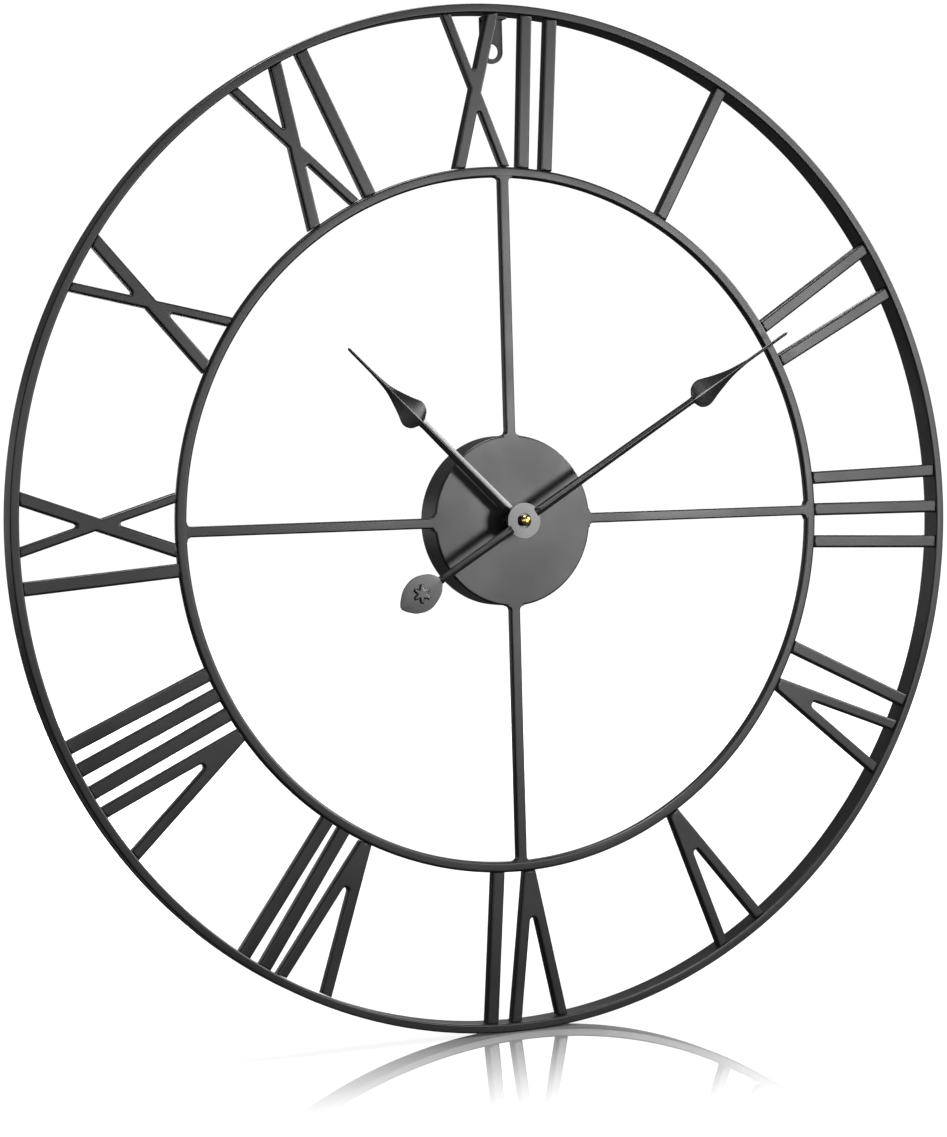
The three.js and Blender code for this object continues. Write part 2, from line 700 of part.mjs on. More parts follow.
function hourHand() {
  const hub = plate(disc(HOUR_HUB_R, 36), HOUR_FRONT, HAND_SHEET);
  const eye = rod(PIPE_R + GAP, HOUR_FRONT - 3, HOUR_FRONT + 3);
  const body = fuse([hub, creased(stationsOf(HOUR_HAND), HOUR_FRONT)]);
  return geometryOf(cut(body, [eye]));
}

function minuteHand() {
  const hub = plate(disc(MINUTE_HUB_R, 40), MINUTE_FRONT, HAND_SHEET);
  const eye = rod(MINUTE_EYE_R, MINUTE_FRONT - 3, MINUTE_FRONT + 3, 32);
  const arm = creased(stationsOf(MINUTE_HAND), MINUTE_FRONT);
  const tail = creased(reversed(stationsOf(MINUTE_TAIL)), MINUTE_FRONT);
  const badge = plate(star(0, STAR_AT), MINUTE_FRONT - STAR_RISE, STAR_RISE + HAND_SHEET / 2);
  return geometryOf(cut(fuse([hub, arm, tail, badge]), [eye]));
}

const hourTurn = piece('hour_hand', hourHand(), handPaint());
hourTurn.rotation.y = HOUR_ANGLE * DEG;
const minuteTurn = piece('minute_hand', minuteHand(), handPaint());
minuteTurn.rotation.y = MINUTE_ANGLE * DEG;
piece('minute_collet', tube(COLLET_R, ARBOR_R + GAP, COLLET_FRONT, COLLET_FRONT + COLLET_T), brass());

function handNut() {
  const bore = ARBOR_R + GAP;
  const steps = [0, 1, 2, 3, 4].map((k) => (k * Math.PI) / 8);
  const dome = steps.map((t) => (
    [HAND_NUT_R * Math.sin(t), HAND_NUT_FRONT + HAND_NUT_DOME * (1 - Math.cos(t))]
  ));
  const back = [[HAND_NUT_R, HAND_NUT_BACK], [bore, HAND_NUT_BACK]];
  return turned([...dome, ...back, [bore, ARBOR_FRONT - GAP], [0, ARBOR_FRONT - GAP]], 24);
}
piece('hand_nut', handNut(), brass());

// ---------------------------------------------------------------- fixing through the face
piece('threaded_bush', tube(BUSH_R, BUSH_BORE_R, BUSH_FRONT, CASE_INSIDE, 28), brass());
piece('face_washer', tube(WASHER_R, BUSH_R + GAP, WASHER_FRONT, WASHER_FRONT + WASHER_T, 28), brass());
piece('gasket', tube(GASKET_R, BUSH_R + GAP, GASKET_FRONT, GASKET_FRONT + GASKET_T, 28), rubber());

function hexNut() {
  const shape = disc(NUT_ACROSS / 2 / Math.cos(Math.PI / 6), 6);
  const blank = solid(plate(shape, NUT_FRONT, NUT_T));
  return geometryOf(cut(blank, [rod(BUSH_R + GAP, NUT_FRONT - 1, NUT_FRONT + NUT_T + 1, 28)]));
}
piece('hex_nut', hexNut(), brass());

// ---------------------------------------------------------------- movement case
// A round tool through a pair of axle coordinates.
function drill([x, z], r, front, back, sides = 16) {
  return rod(r, front, back, sides).translate(x, 0, z);
}

// Radius over the tips of a toothed disc.
function tipRadius(teeth, module) {
  return (module * teeth) / 2 + TOOTH_TIP * module;
}

function caseFront() {
  const end = CASE_FRONT + SPLIT_AT - GAP / 2;
  const block = solid(plate(roundedRect(CASE_W, CASE_W, CASE_CORNER), CASE_FRONT, end - CASE_FRONT, 4));
  const gears = box(-INSIDE, CASE_INSIDE, BAY_WALL_TOP, INSIDE, end + 1, INSIDE);
  const bay = box(-INSIDE, CASE_INSIDE, -INSIDE, INSIDE, end + 1, BAY_TOP);
  const bush = rod(BUSH_R + GAP, CASE_FRONT - 1, CASE_INSIDE + 1, 28);
  return geometryOf(cut(block, [gears, bay, bush]));
}

function caseBack() {
  const depth = CASE_BACK - LID_FRONT;
  const block = solid(plate(roundedRect(CASE_W, CASE_W, CASE_CORNER), LID_FRONT, depth, 4));
  const gears = box(-INSIDE, LID_FRONT - 1, BAY_WALL_TOP, INSIDE, LID_INSIDE, INSIDE);
  const bay = box(-INSIDE, LID_FRONT - 1, -INSIDE, INSIDE, CASE_BACK + 1, BAY_TOP);
  const knobR = tipRadius(KNOB_RIBS, KNOB_MODULE) + KNOB_CLEAR;
  const knob = drill(KNOB_AT, knobR, LID_INSIDE - 1, CASE_BACK + 1, 28);
  return geometryOf(cut(block, [gears, bay, knob]));
}
piece('case_front', caseFront(), casePlastic());
piece('case_back', caseBack(), casePlastic());

// ---------------------------------------------------------------- wheels
// A toothed disc of pointed teeth. The pitch circle sits a third of the tooth height
// below the tip, which leaves running room in every mesh.
function toothed(teeth, module, front, thick, phase) {
  const tip = tipRadius(teeth, module);
  const root = (module * teeth) / 2 - TOOTH_ROOT * module;
  const step = (2 * Math.PI) / teeth;
  const points = [];
  for (let i = 0; i < teeth; i += 1) {
    const t = phase + i * step;
    points.push([tip * Math.cos(t), tip * Math.sin(t)]);
    points.push([root * Math.cos(t + step / 2), root * Math.sin(t + step / 2)]);
  }
  return plate(outline(points), front, thick);
}

// The phase that puts a gap of the driven wheel round a tooth of the driving one.
function meshPhase(phase, teeth, otherTeeth, direction) {
  const line = direction * DEG;
  return line + Math.PI + Math.PI / otherTeeth - ((phase - line) * teeth) / otherTeeth;
}

// A wheel and pinion on one arbor.
function arbor([x, z], parts, end) {
  const list = parts.map((part) => toothed(...part));
  list.push(rod(PIN_R, PIN_FRONT, end, 12));
  return geometryOf(fuse(list)).translate(x, 0, z);
}

const MM = MOTION_MODULE;
const TM = TRAIN_MODULE;
const cannonPhase = 0;
const motionPhase = meshPhase(cannonPhase, CANNON_TEETH, MOTION_TEETH, MOTION_DIR);
const knobPhase = meshPhase(motionPhase, MOTION_TEETH, KNOB_TEETH, KNOB_DIR);
const motionPinionPhase = 0;
const hourPhase = meshPhase(motionPinionPhase, MOTION_PINION_TEETH, HOUR_TEETH, MOTION_DIR + 180);

const minuteArbor = fuse([
  rod(ARBOR_R, ARBOR_FRONT, PIVOT_END, 20),
  toothed(CANNON_TEETH, MM, CANNON_LAYER, MOTION_T, cannonPhase),
]);
piece('minute_arbor', minuteArbor, steel());

const hourBlank = fuse([
  rod(PIPE_R, HOUR_FRONT - PIPE_PROUD, HOUR_LAYER + MOTION_T / 2, 24),
  toothed(HOUR_TEETH, MM, HOUR_LAYER, MOTION_T, hourPhase),
]);
const pipeBore = rod(PIPE_BORE_R, HOUR_FRONT - 3, HOUR_LAYER + 3, 24);
piece('hour_wheel', cut(hourBlank, [pipeBore]), gearPlastic());

const motionParts = [
  [MOTION_PINION_TEETH, MM, HOUR_LAYER, MOTION_T + GAP + JOIN, motionPinionPhase],
  [MOTION_TEETH, MM, CANNON_LAYER, MOTION_T, motionPhase],
];
piece('motion_wheel', arbor(MOTION_AT, motionParts, CANNON_LAYER + MOTION_T + JOIN), gearPlastic());

function settingKnob() {
  const grip = toothed(KNOB_RIBS, KNOB_MODULE, KNOB_FRONT, KNOB_T, 0);
  const pinion = toothed(KNOB_TEETH, MM, CANNON_LAYER, MOTION_T, knobPhase);
  const stem = rod(KNOB_STEM_R, PIN_FRONT, KNOB_FRONT + JOIN, 16);
  return geometryOf(fuse([grip, pinion, stem])).translate(KNOB_AT[0], 0, KNOB_AT[1]);
}
piece('setting_knob', settingKnob(), gearPlastic());

const centrePhase = 0;
const thirdPinionPhase = meshPhase(centrePhase, CENTRE_TEETH, TRAIN_PINION, THIRD_DIR);
const thirdPhase = 0;
const secondPinionPhase = meshPhase(thirdPhase, THIRD_TEETH, TRAIN_PINION, SECOND_DIR);
const secondPhase = 0;
const interPinionPhase = meshPhase(secondPhase, SECOND_TEETH, TRAIN_PINION, INTER_DIR);
const interPhase = 0;
const rotorPhase = meshPhase(interPhase, INTER_TEETH, TRAIN_PINION, ROTOR_DIR);
const REACH = TRAIN_T + GAP + JOIN;

const centreBlank = solid(toothed(CENTRE_TEETH, TM, CENTRE_LAYER, TRAIN_T, centrePhase));
const centreBore = rod(ARBOR_R + RUNNING, CENTRE_LAYER - 1, CENTRE_LAYER + 2, 20);
piece('centre_wheel', cut(centreBlank, [centreBore]), gearPlastic());
piece('third_wheel', arbor(THIRD_AT, [
  [TRAIN_PINION, TM, CENTRE_LAYER, REACH, thirdPinionPhase],
  [THIRD_TEETH, TM, THIRD_LAYER, TRAIN_T, thirdPhase],
], PIVOT_END), gearPlastic());
piece('second_wheel', arbor(SECOND_AT, [
  [TRAIN_PINION, TM, THIRD_LAYER, REACH, secondPinionPhase],
  [SECOND_TEETH, TM, SECOND_LAYER, TRAIN_T, secondPhase],
], PIVOT_END), gearPlastic());
piece('intermediate_wheel', arbor(INTER_AT, [
  [TRAIN_PINION, TM, SECOND_LAYER, REACH, interPinionPhase],
  [INTER_TEETH, TM, INTER_LAYER, TRAIN_T, interPhase],
], PIVOT_END), gearPlastic());

function rotor() {
  const pinion = toothed(TRAIN_PINION, TM, INTER_LAYER, MAGNET_LIFT + JOIN, rotorPhase);
  const magnet = rod(MAGNET_R, MAGNET_FRONT, MAGNET_BACK, 24);
  const pin = rod(PIN_R, PIN_FRONT, PIVOT_END, 12);
  return geometryOf(fuse([pinion, magnet, pin])).translate(ROTOR_AT[0], 0, ROTOR_AT[1]);
}
piece('rotor', rotor(), steel());

// ---------------------------------------------------------------- motor and board
// A ring of laminations round the magnet, with two limbs up to the coil's core.
function stator() {
  const [x, z] = ROTOR_AT;
  const pole = MAGNET_R + POLE_W;
  const right = x + COIL_SHIFT + COIL_L + GAP;
  const far = right + LIMB_W;
  const top = COIL_Z + CORE_H / 2;
  const flat = (x0, z0, x1, z1) => box(x0, STATOR_FRONT, z0, x1, STATOR_BACK, z1);
  const body = fuse([
    flat(x - pole, z - pole, x + pole, z + pole),
    flat(x - pole, z, x - pole + LIMB_W, top),
    flat(x + pole - 1, z - LIMB_W / 2, far, z + LIMB_W / 2),
    flat(right, z - LIMB_W / 2, far, top),
    flat(x - pole, top - CORE_H, far, top),
  ]);
  const bore = drill(ROTOR_AT, MAGNET_R + GAP, STATOR_FRONT - 1, STATOR_BACK + 1, 28);
  return geometryOf(cut(body, [bore]));
}
piece('stator', stator(), steel());

// The winding, a barrel with a square hole for its core.
function coil() {
  const left = ROTOR_AT[0] + COIL_SHIFT;
  const mid = (STATOR_FRONT + STATOR_BACK) / 2;
  const barrel = rod(COIL_R, left, left + COIL_L, 20).rotateZ(-Math.PI / 2).translate(0, mid, COIL_Z);
  const slot = box(
    left - 1, STATOR_FRONT - GAP, COIL_Z - CORE_H / 2 - GAP,
    left + COIL_L + 1, STATOR_BACK + GAP, COIL_Z + CORE_H / 2 + GAP,
  );
  return geometryOf(cut(solid(barrel), [slot]));
}
piece('coil', coil(), copper());

// The plate that holds the back pivots of the train.
function trainBridge() {
  const top = Math.max(INTER_AT[1], SECOND_AT[1]) + BRIDGE_RIM;
  const left = THIRD_AT[0] - BRIDGE_RIM;
  const right = ROTOR_AT[0] + BRIDGE_RIM;
  const body = solid(box(left, BRIDGE_FRONT, -BRIDGE_RIM, right, BRIDGE_BACK, top));
  const holes = [THIRD_AT, SECOND_AT, INTER_AT, ROTOR_AT].map((at) => (
    drill(at, PIN_R + PIN_CLEAR, BRIDGE_FRONT - 1, BRIDGE_BACK + 1, 12)
  ));
  holes.push(rod(ARBOR_R + PIN_CLEAR, BRIDGE_FRONT - 1, BRIDGE_BACK + 1, 20));
  return geometryOf(cut(body, holes));
}
piece('train_bridge', trainBridge(), casePlastic());

// The board carries its crystal can and its chip, both lying against it.
function circuitBoard() {
  const low = BAY_WALL_TOP + BOARD_EDGE;
  const left = BOARD_EDGE - INSIDE;
  const back = BOARD_FRONT + BOARD_T;
  const chipLeft = left + 2 * CHIP_W;
  const chipLow = low + 2.5 * CHIP_W;
  const sheet = box(left, BOARD_FRONT, low, BOARD_RIGHT, back, INSIDE - BOARD_EDGE);
  const can = rod(CRYSTAL_R, 0, CRYSTAL_L, 14).rotateX(Math.PI / 2);
  can.translate(left + CHIP_W, BOARD_FRONT - CRYSTAL_R / 2, low + CHIP_W);
  const chip = box(
    chipLeft, BOARD_FRONT - CHIP_T, chipLow,
    chipLeft + CHIP_W, BOARD_FRONT + JOIN, chipLow + CHIP_W,
  );
  return geometryOf(fuse([sheet, can, chip]));
}
piece('circuit_board', circuitBoard(), boardGreen());

// ---------------------------------------------------------------- power
// Lays a body that was turned about the depth axis along +X in the battery bay.
function alongBay(geometry) {
  return geometry.rotateZ(-Math.PI / 2).translate(0, CELL_Y, BATTERY_Z);
}

function battery() {
  const to = CELL_FROM + BATTERY_L;
  const e = CELL_EDGE;
  return alongBay(turned([
    [0, CELL_FROM], [BATTERY_R - e, CELL_FROM], [BATTERY_R, CELL_FROM + e],
    [BATTERY_R, to - e], [BATTERY_R - e, to], [NUB_R, to], [NUB_R, to + NUB_L], [0, to + NUB_L],
  ], 32));
}
piece('battery', battery(), cellWrap());

// A flat contact standing in the bay, its low side at x.
function contactPlate(x) {
  const half = CONTACT_W / 2;
  return box(x, CASE_INSIDE + GAP, BATTERY_Z - half, x + CONTACT_T, LID_INSIDE - GAP, BATTERY_Z + half);
}
piece('contact_plus', contactPlate(INSIDE - GAP - CONTACT_T), steel());

// The other contact carries a cone spring that bears on the cell's flat end.
function contactMinus() {
  const x = GAP - INSIDE;
  const cone = alongBay(turned([
    [0, x + JOIN], [SPRING_R, x + JOIN], [SPRING_R / 2, CELL_FROM - GAP], [0, CELL_FROM - GAP],
  ], 20));
  return geometryOf(fuse([contactPlate(x), cone]));
}
piece('contact_minus', contactMinus(), steel());

export default clock;
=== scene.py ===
"""An open-frame wall clock: two steel rings, pressed Roman numerals and spade hands.

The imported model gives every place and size. This script adds the fine surfaces, the
finishes, the light and the camera. All lengths are in metres; MM turns a size given
in millimetres into metres. The dial faces -Y, +X is right and +Z is up.
"""

from __future__ import annotations

import logging
import math
from dataclasses import dataclass, field
from enum import Enum
from typing import Any, Iterable, Optional, Sequence

import bmesh
import bpy
from mathutils import Matrix, Vector


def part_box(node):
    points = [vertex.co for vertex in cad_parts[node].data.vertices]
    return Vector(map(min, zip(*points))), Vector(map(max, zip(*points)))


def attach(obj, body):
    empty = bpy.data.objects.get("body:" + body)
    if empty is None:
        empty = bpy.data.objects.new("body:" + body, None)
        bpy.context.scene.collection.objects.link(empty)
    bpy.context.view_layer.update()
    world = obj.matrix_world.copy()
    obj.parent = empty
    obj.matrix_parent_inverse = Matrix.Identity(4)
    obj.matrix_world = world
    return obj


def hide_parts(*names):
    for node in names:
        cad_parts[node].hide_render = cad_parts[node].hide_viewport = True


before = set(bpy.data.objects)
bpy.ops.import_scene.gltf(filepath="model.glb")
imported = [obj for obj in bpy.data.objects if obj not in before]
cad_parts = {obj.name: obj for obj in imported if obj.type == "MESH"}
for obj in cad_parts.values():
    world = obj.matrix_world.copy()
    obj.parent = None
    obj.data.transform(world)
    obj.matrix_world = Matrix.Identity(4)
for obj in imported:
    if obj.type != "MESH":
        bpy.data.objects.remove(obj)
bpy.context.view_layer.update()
MM = 0.001
OUTER_BAND = 5.2 * MM
INNER_BAND = 6.2 * MM
CELL_BODY_SHARE = 0.68
SAME_POINT = 1e-6
SAME_DEPTH = 1e-5
WHITE = (1.0, 1.0, 1.0)
BLACK = (0.0, 0.0, 0.0)
LOG = logging.getLogger("wall_clock")
Ring = list[Vector]


class Body(Enum):
    """The bodies that the clock's pieces ride on."""

    FRAME = "frame"
    MINUTE = "minute"
    HOUR = "hour"
    BATTERY = "battery"


class Slot(Enum):
    """The material slots that the record names."""

    CHARCOAL = "charcoal_paint"
    HAND = "hand_paint"
    BRASS = "brass"
    STEEL = "bright_steel"
    CASE = "case_plastic"
    GEAR = "gear_plastic"
    BOARD = "board"
    COPPER = "copper_wire"
    RUBBER = "rubber"
    CELL = "cell_wrap"


# ------------------------------------------------------------------ shader bench


class Wire:
    """One output of a shader node, used like a number in an expression."""

    def __init__(self, bench: "Bench", socket: bpy.types.NodeSocket) -> None:
        """Keeps the socket and the bench that made it."""
        self.bench = bench
        self.socket = socket

    def _math(self, operation: str, *values: Any) -> "Wire":
        """Adds one Math node on the values given."""
        return self.bench.make("ShaderNodeMath", {"operation": operation}, dict(enumerate(values)))

    def __add__(self, other: Any) -> "Wire":
        """Sum."""
        return self._math("ADD", self, other)

    def __radd__(self, other: Any) -> "Wire":
        """Sum with the number first."""
        return self._math("ADD", other, self)

    def __sub__(self, other: Any) -> "Wire":
        """Difference."""
        return self._math("SUBTRACT", self, other)

    def __rsub__(self, other: Any) -> "Wire":
        """Difference with the number first."""
        return self._math("SUBTRACT", other, self)

    def __mul__(self, other: Any) -> "Wire":
        """Product."""
        return self._math("MULTIPLY", self, other)

    def step(self, low: float, high: float) -> "Wire":
        """A smooth step from 0 at low to 1 at high.

        Args:
            low: The value below which the result is 0.
            high: The value above which the result is 1.

        Returns:
            The stepped value.
        """
        settings = {"interpolation_type": "SMOOTHSTEP"}
        return self.bench.make("ShaderNodeMapRange", settings, {0: self, 1: low, 2: high})


class Bench:
    """Makes the nodes of one material or of the world."""

    def __init__(self, tree: bpy.types.NodeTree) -> None:
        """Clears the tree that it will fill."""
        self.tree = tree
        tree.nodes.clear()

    def make(
        self,
        kind: str,
        settings: Optional[dict[str, Any]] = None,
        inputs: Optional[dict[Any, Any]] = None,
        output: Any = 0,
    ) -> Wire:
        """Adds a node: its settings first, then its sockets.

        Args:
            kind: The node's type.
            settings: Attributes of the node.
            inputs: Values or wires by the socket's name or number.
            output: The name or number of the output to hand back.

        Returns:
            The wire from that output.
        """
        node = self.tree.nodes.new(kind)
        for key, value in (settings or {}).items():
            setattr(node, key, value)
        for key, value in (inputs or {}).items():
            if isinstance(value, Wire):
                self.tree.links.new(value.socket, node.inputs[key])
            else:
                node.inputs[key].default_value = value
        if not node.outputs:
            return Wire(self, node.inputs[0])
        return Wire(self, node.outputs[output])

    def noise(self, at: Wire, scale: float, detail: float = 2.0) -> Wire:
        """Cloudy noise from 0 to 1.

        Args:
            at: The place on the surface.
            scale: Features a metre.
            detail: How many finer layers are laid over it.

        Returns:
            The noise.
        """
        return self.make("ShaderNodeTexNoise", {}, {"Vector": at, "Scale": scale, "Detail": detail})

    def blend(self, factor: Any, first: Any, second: Any) -> Wire:
        """Mixes two colours.

        Args:
            factor: 0 for the first colour, 1 for the second.
            first: The first colour.
            second: The second colour.

        Returns:
            The mixed colour.
        """
        settings = {"data_type": "RGBA"}
        return self.make("ShaderNodeMix", settings, {0: factor, 6: first, 7: second}, 2)

    def bump(self, height: Wire, depth: float) -> Wire:
        """Turns a relief into a normal.

        Args:
            height: The relief, from 0 to 1.
            depth: Its full height in metres.

        Returns:
            The normal.
        """
        return self.make("ShaderNodeBump", {}, {"Strength": 1.0, "Distance": depth, "Height": height})


def rgba(colour: Sequence[float], gain: float = 1.0) -> tuple[float, float, float, float]:
    """A colour with its alpha, made lighter or darker.

    Args:
        colour: Red, green and blue.
        gain: What each of them is multiplied by.

    Returns:
        The colour with full alpha.
    """
    return (colour[0] * gain, colour[1] * gain, colour[2] * gain, 1.0)


@dataclass(frozen=True)
class Finish:
    """A surface finish: a base colour with cloudy variation and a fine grain.

    Sizes of the pattern are features a metre, and depths are in metres.
    """

    slot: Slot
    colour: tuple[float, float, float]
    roughness: float
    metallic: float = 0.0
    mottle: float = 0.12
    mottle_scale: float = 40.0
    grain: float = 0.06
    grain_scale: float = 1500.0
    grain_depth: float = 0.00003
    stretch: tuple[float, float, float] = (1.0, 1.0, 1.0)
    coarse_scale: float = 0.35
    coarse_share: float = 0.4

    def height(self, bench: Bench, at: Wire) -> Wire:
        """The small relief of the surface: a fine noise over a coarser one.

        Args:
            bench: The bench that makes the nodes.
            at: The place on the surface, stretched along the grain.

        Returns:
            The relief, from 0 to 1.
        """
        coarse = bench.noise(at, self.grain_scale * self.coarse_scale, 2.0)
        fine = bench.noise(at, self.grain_scale, 1.0)
        return fine * (1 - self.coarse_share) + coarse * self.coarse_share

    def tint(self, bench: Bench, at: Wire, cloud: Wire) -> Wire:
        """The colour over the surface.

        Args:
            bench: The bench that makes the nodes.
            at: The place on the surface.
            cloud: The cloudy variation, from 0 to 1.

        Returns:
            The colour.
        """
        dark = rgba(self.colour, 1 - self.mottle)
        light = rgba(self.colour, 1 + self.mottle)
        return bench.blend(cloud, dark, light)

    def material(self) -> bpy.types.Material:
        """Builds the material with its nodes.

        Returns:
            The finished material.
        """
        material = bpy.data.materials.new(self.slot.value + "_finish")
        material.use_nodes = True
        bench = Bench(material.node_tree)
        plain = bench.make("ShaderNodeTexCoord", output="Object")
        at = bench.make("ShaderNodeMapping", {}, {"Vector": plain, "Scale": self.stretch})
        cloud = bench.noise(plain, self.mottle_scale, 4.0).step(0.3, 0.7)
        relief = self.height(bench, at)
        colour = self.tint(bench, plain, cloud)
        rough = self.roughness + (cloud - 0.5) * self.mottle * 0.5 + (relief - 0.5) * self.grain
        shader = bench.make(
            "ShaderNodeBsdfPrincipled",
            {},
            {
                "Base Color": colour,
                "Roughness": rough,
                "Metallic": self.metallic,
                "Normal": bench.bump(relief, self.grain_depth),
            },
        )
        bench.make("ShaderNodeOutputMaterial", {}, {"Surface": shader})
        return material


@dataclass(frozen=True)
class WoundWire(Finish):
    """Enamelled wire wound close, turn by turn along X.

    A wave texture makes waves_per_scale waves in a unit at a scale of 1.
    """

    pitch: float = 0.25 * MM
    waves_per_scale: float = 20.0

    def height(self, bench: Bench, at: Wire) -> Wire:
        """One ridge for each turn of the wire."""
        settings = {"wave_type": "BANDS", "bands_direction": "X", "wave_profile": "SIN"}
        scale = 1.0 / (self.pitch * self.waves_per_scale)
        return bench.make("ShaderNodeTexWave", settings, {"Vector": at, "Scale": scale}, "Fac")


@dataclass(frozen=True)
class SleevedCell(Finish):
    """A printed plastic sleeve: a dark body with a copper-coloured end at +X."""

    band_at: float = 0.0
    band_blur: float = 0.1 * MM
    band_colour: tuple[float, float, float] = (0.55, 0.30, 0.12)

    def tint(self, bench: Bench, at: Wire, cloud: Wire) -> Wire:
        """The body's colour, and the band's colour past band_at."""
        body = super().tint(bench, at, cloud)
        along = bench.make("ShaderNodeSeparateXYZ", {}, {0: at}, "X")
        band = along.step(self.band_at - self.band_blur, self.band_at + self.band_blur)
        return bench.blend(band, body, rgba(self.band_colour))


def finishes() -> dict[Slot, Finish]:
    """The finish of every slot.

    Returns:
        The finishes by their slots.
    """
    cell_low, cell_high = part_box("battery")
    band = cell_low.x + (cell_high.x - cell_low.x) * CELL_BODY_SHARE
    drawn = (1.0, 1.0, 0.04)
    made = [
        Finish(Slot.CHARCOAL, (0.0125, 0.0127, 0.0135), 0.33, mottle=0.14, mottle_scale=22.0,
               grain=0.03, grain_scale=320.0, grain_depth=0.000004),
        Finish(Slot.HAND, (0.016, 0.0162, 0.0170), 0.20, mottle=0.12, mottle_scale=30.0,
               grain=0.03, grain_scale=320.0, grain_depth=0.000003),
        Finish(Slot.BRASS, (0.52, 0.41, 0.13), 0.24, metallic=1.0, mottle=0.10,
               mottle_scale=200.0, grain_scale=4000.0, grain_depth=0.00001),
        Finish(Slot.STEEL, (0.55, 0.56, 0.57), 0.30, metallic=1.0, mottle=0.08,
               mottle_scale=120.0, grain_scale=6000.0, grain_depth=0.000008, stretch=drawn),
        Finish(Slot.CASE, (0.018, 0.018, 0.019), 0.48, mottle=0.10, mottle_scale=60.0,
               grain=0.12, grain_scale=2600.0, grain_depth=0.00003),
        Finish(Slot.GEAR, (0.72, 0.69, 0.60), 0.42, mottle=0.05, mottle_scale=150.0,
               grain_scale=3000.0, grain_depth=0.00001),
        Finish(Slot.BOARD, (0.02, 0.11, 0.05), 0.35, mottle=0.2, mottle_scale=300.0,
               grain_scale=2500.0, grain_depth=0.00002),
        WoundWire(Slot.COPPER, (0.60, 0.26, 0.10), 0.30, metallic=0.8, mottle_scale=300.0,
                  grain_depth=0.00008),
        Finish(Slot.RUBBER, (0.012, 0.012, 0.012), 0.72, mottle=0.15, mottle_scale=150.0,
               grain_scale=3000.0, grain_depth=0.00004),
        SleevedCell(Slot.CELL, (0.02, 0.021, 0.024), 0.30, mottle=0.05, mottle_scale=120.0,
                    grain_scale=900.0, grain_depth=0.00001, band_at=band),
    ]
    return {finish.slot: finish for finish in made}


class PaintShop:
    """Hands out one material for each slot, made once."""

    def __init__(self) -> None:
        """Prepares the finishes."""
        self.finishes = finishes()
        self.made: dict[Slot, bpy.types.Material] = {}

    def material(self, slot: Slot) -> bpy.types.Material:
        """The material of a slot.

        Args:
            slot: The slot asked for.

        Returns:
            Its material, made when it is first asked for.
        """
        if slot not in self.made:
            self.made[slot] = self.finishes[slot].material()
        return self.made[slot]


# ------------------------------------------------------------------ mesh bench


def rounded(corners: Sequence[tuple[float, float, float]], steps: int = 6) -> list[tuple[float, float]]:
    """Rounds the corners of a closed outline.

    Args:
        corners: Each corner's two coordinates and its radius.
        steps: Facets round each corner.

    Returns:
        The points of the rounded outline.
    """
    points: list[tuple[float, float]] = []
    for i, (x, y, radius) in enumerate(corners):
        here = Vector((x, y))
        back = (Vector(corners[i - 1][:2]) - here).normalized()
        ahead = (Vector(corners[(i + 1) % len(corners)][:2]) - here).normalized()
        if radius <= 0:
            points.append((x, y))
            continue
        half = back.angle(ahead) / 2
        centre = here + (back + ahead).normalized() * (radius / math.sin(half))
        first = here + back * (radius / math.tan(half)) - centre
        last = here + ahead * (radius / math.tan(half)) - centre
        start = math.atan2(first.y, first.x)
        turn = (math.atan2(last.y, last.x) - start + math.pi) % (2 * math.pi) - math.pi
        for k in range(steps + 1):
            angle = start + turn * k / steps
            points.append((centre.x + radius * math.cos(angle), centre.y + radius * math.sin(angle)))
    return points


def inset(outline: Sequence[tuple[float, float]], depth: float) -> list[tuple[float, float]]:
    """Moves an anticlockwise outline inwards by the same depth on every side.

    Args:
        outline: The outline's points.
        depth: How far inwards it moves.

    Returns:
        The moved points, in the same order.
    """
    points = [Vector(p) for p in outline]
    moved = []
    for i, here in enumerate(points):
        before = (here - points[i - 1]).normalized()
        after = (points[(i + 1) % len(points)] - here).normalized()
        first = Vector((-before.y, before.x))
        second = Vector((-after.y, after.x))
        shift = (first + second) * (depth / (1 + first.dot(second)))
        moved.append((here.x + shift.x, here.y + shift.y))
    return moved


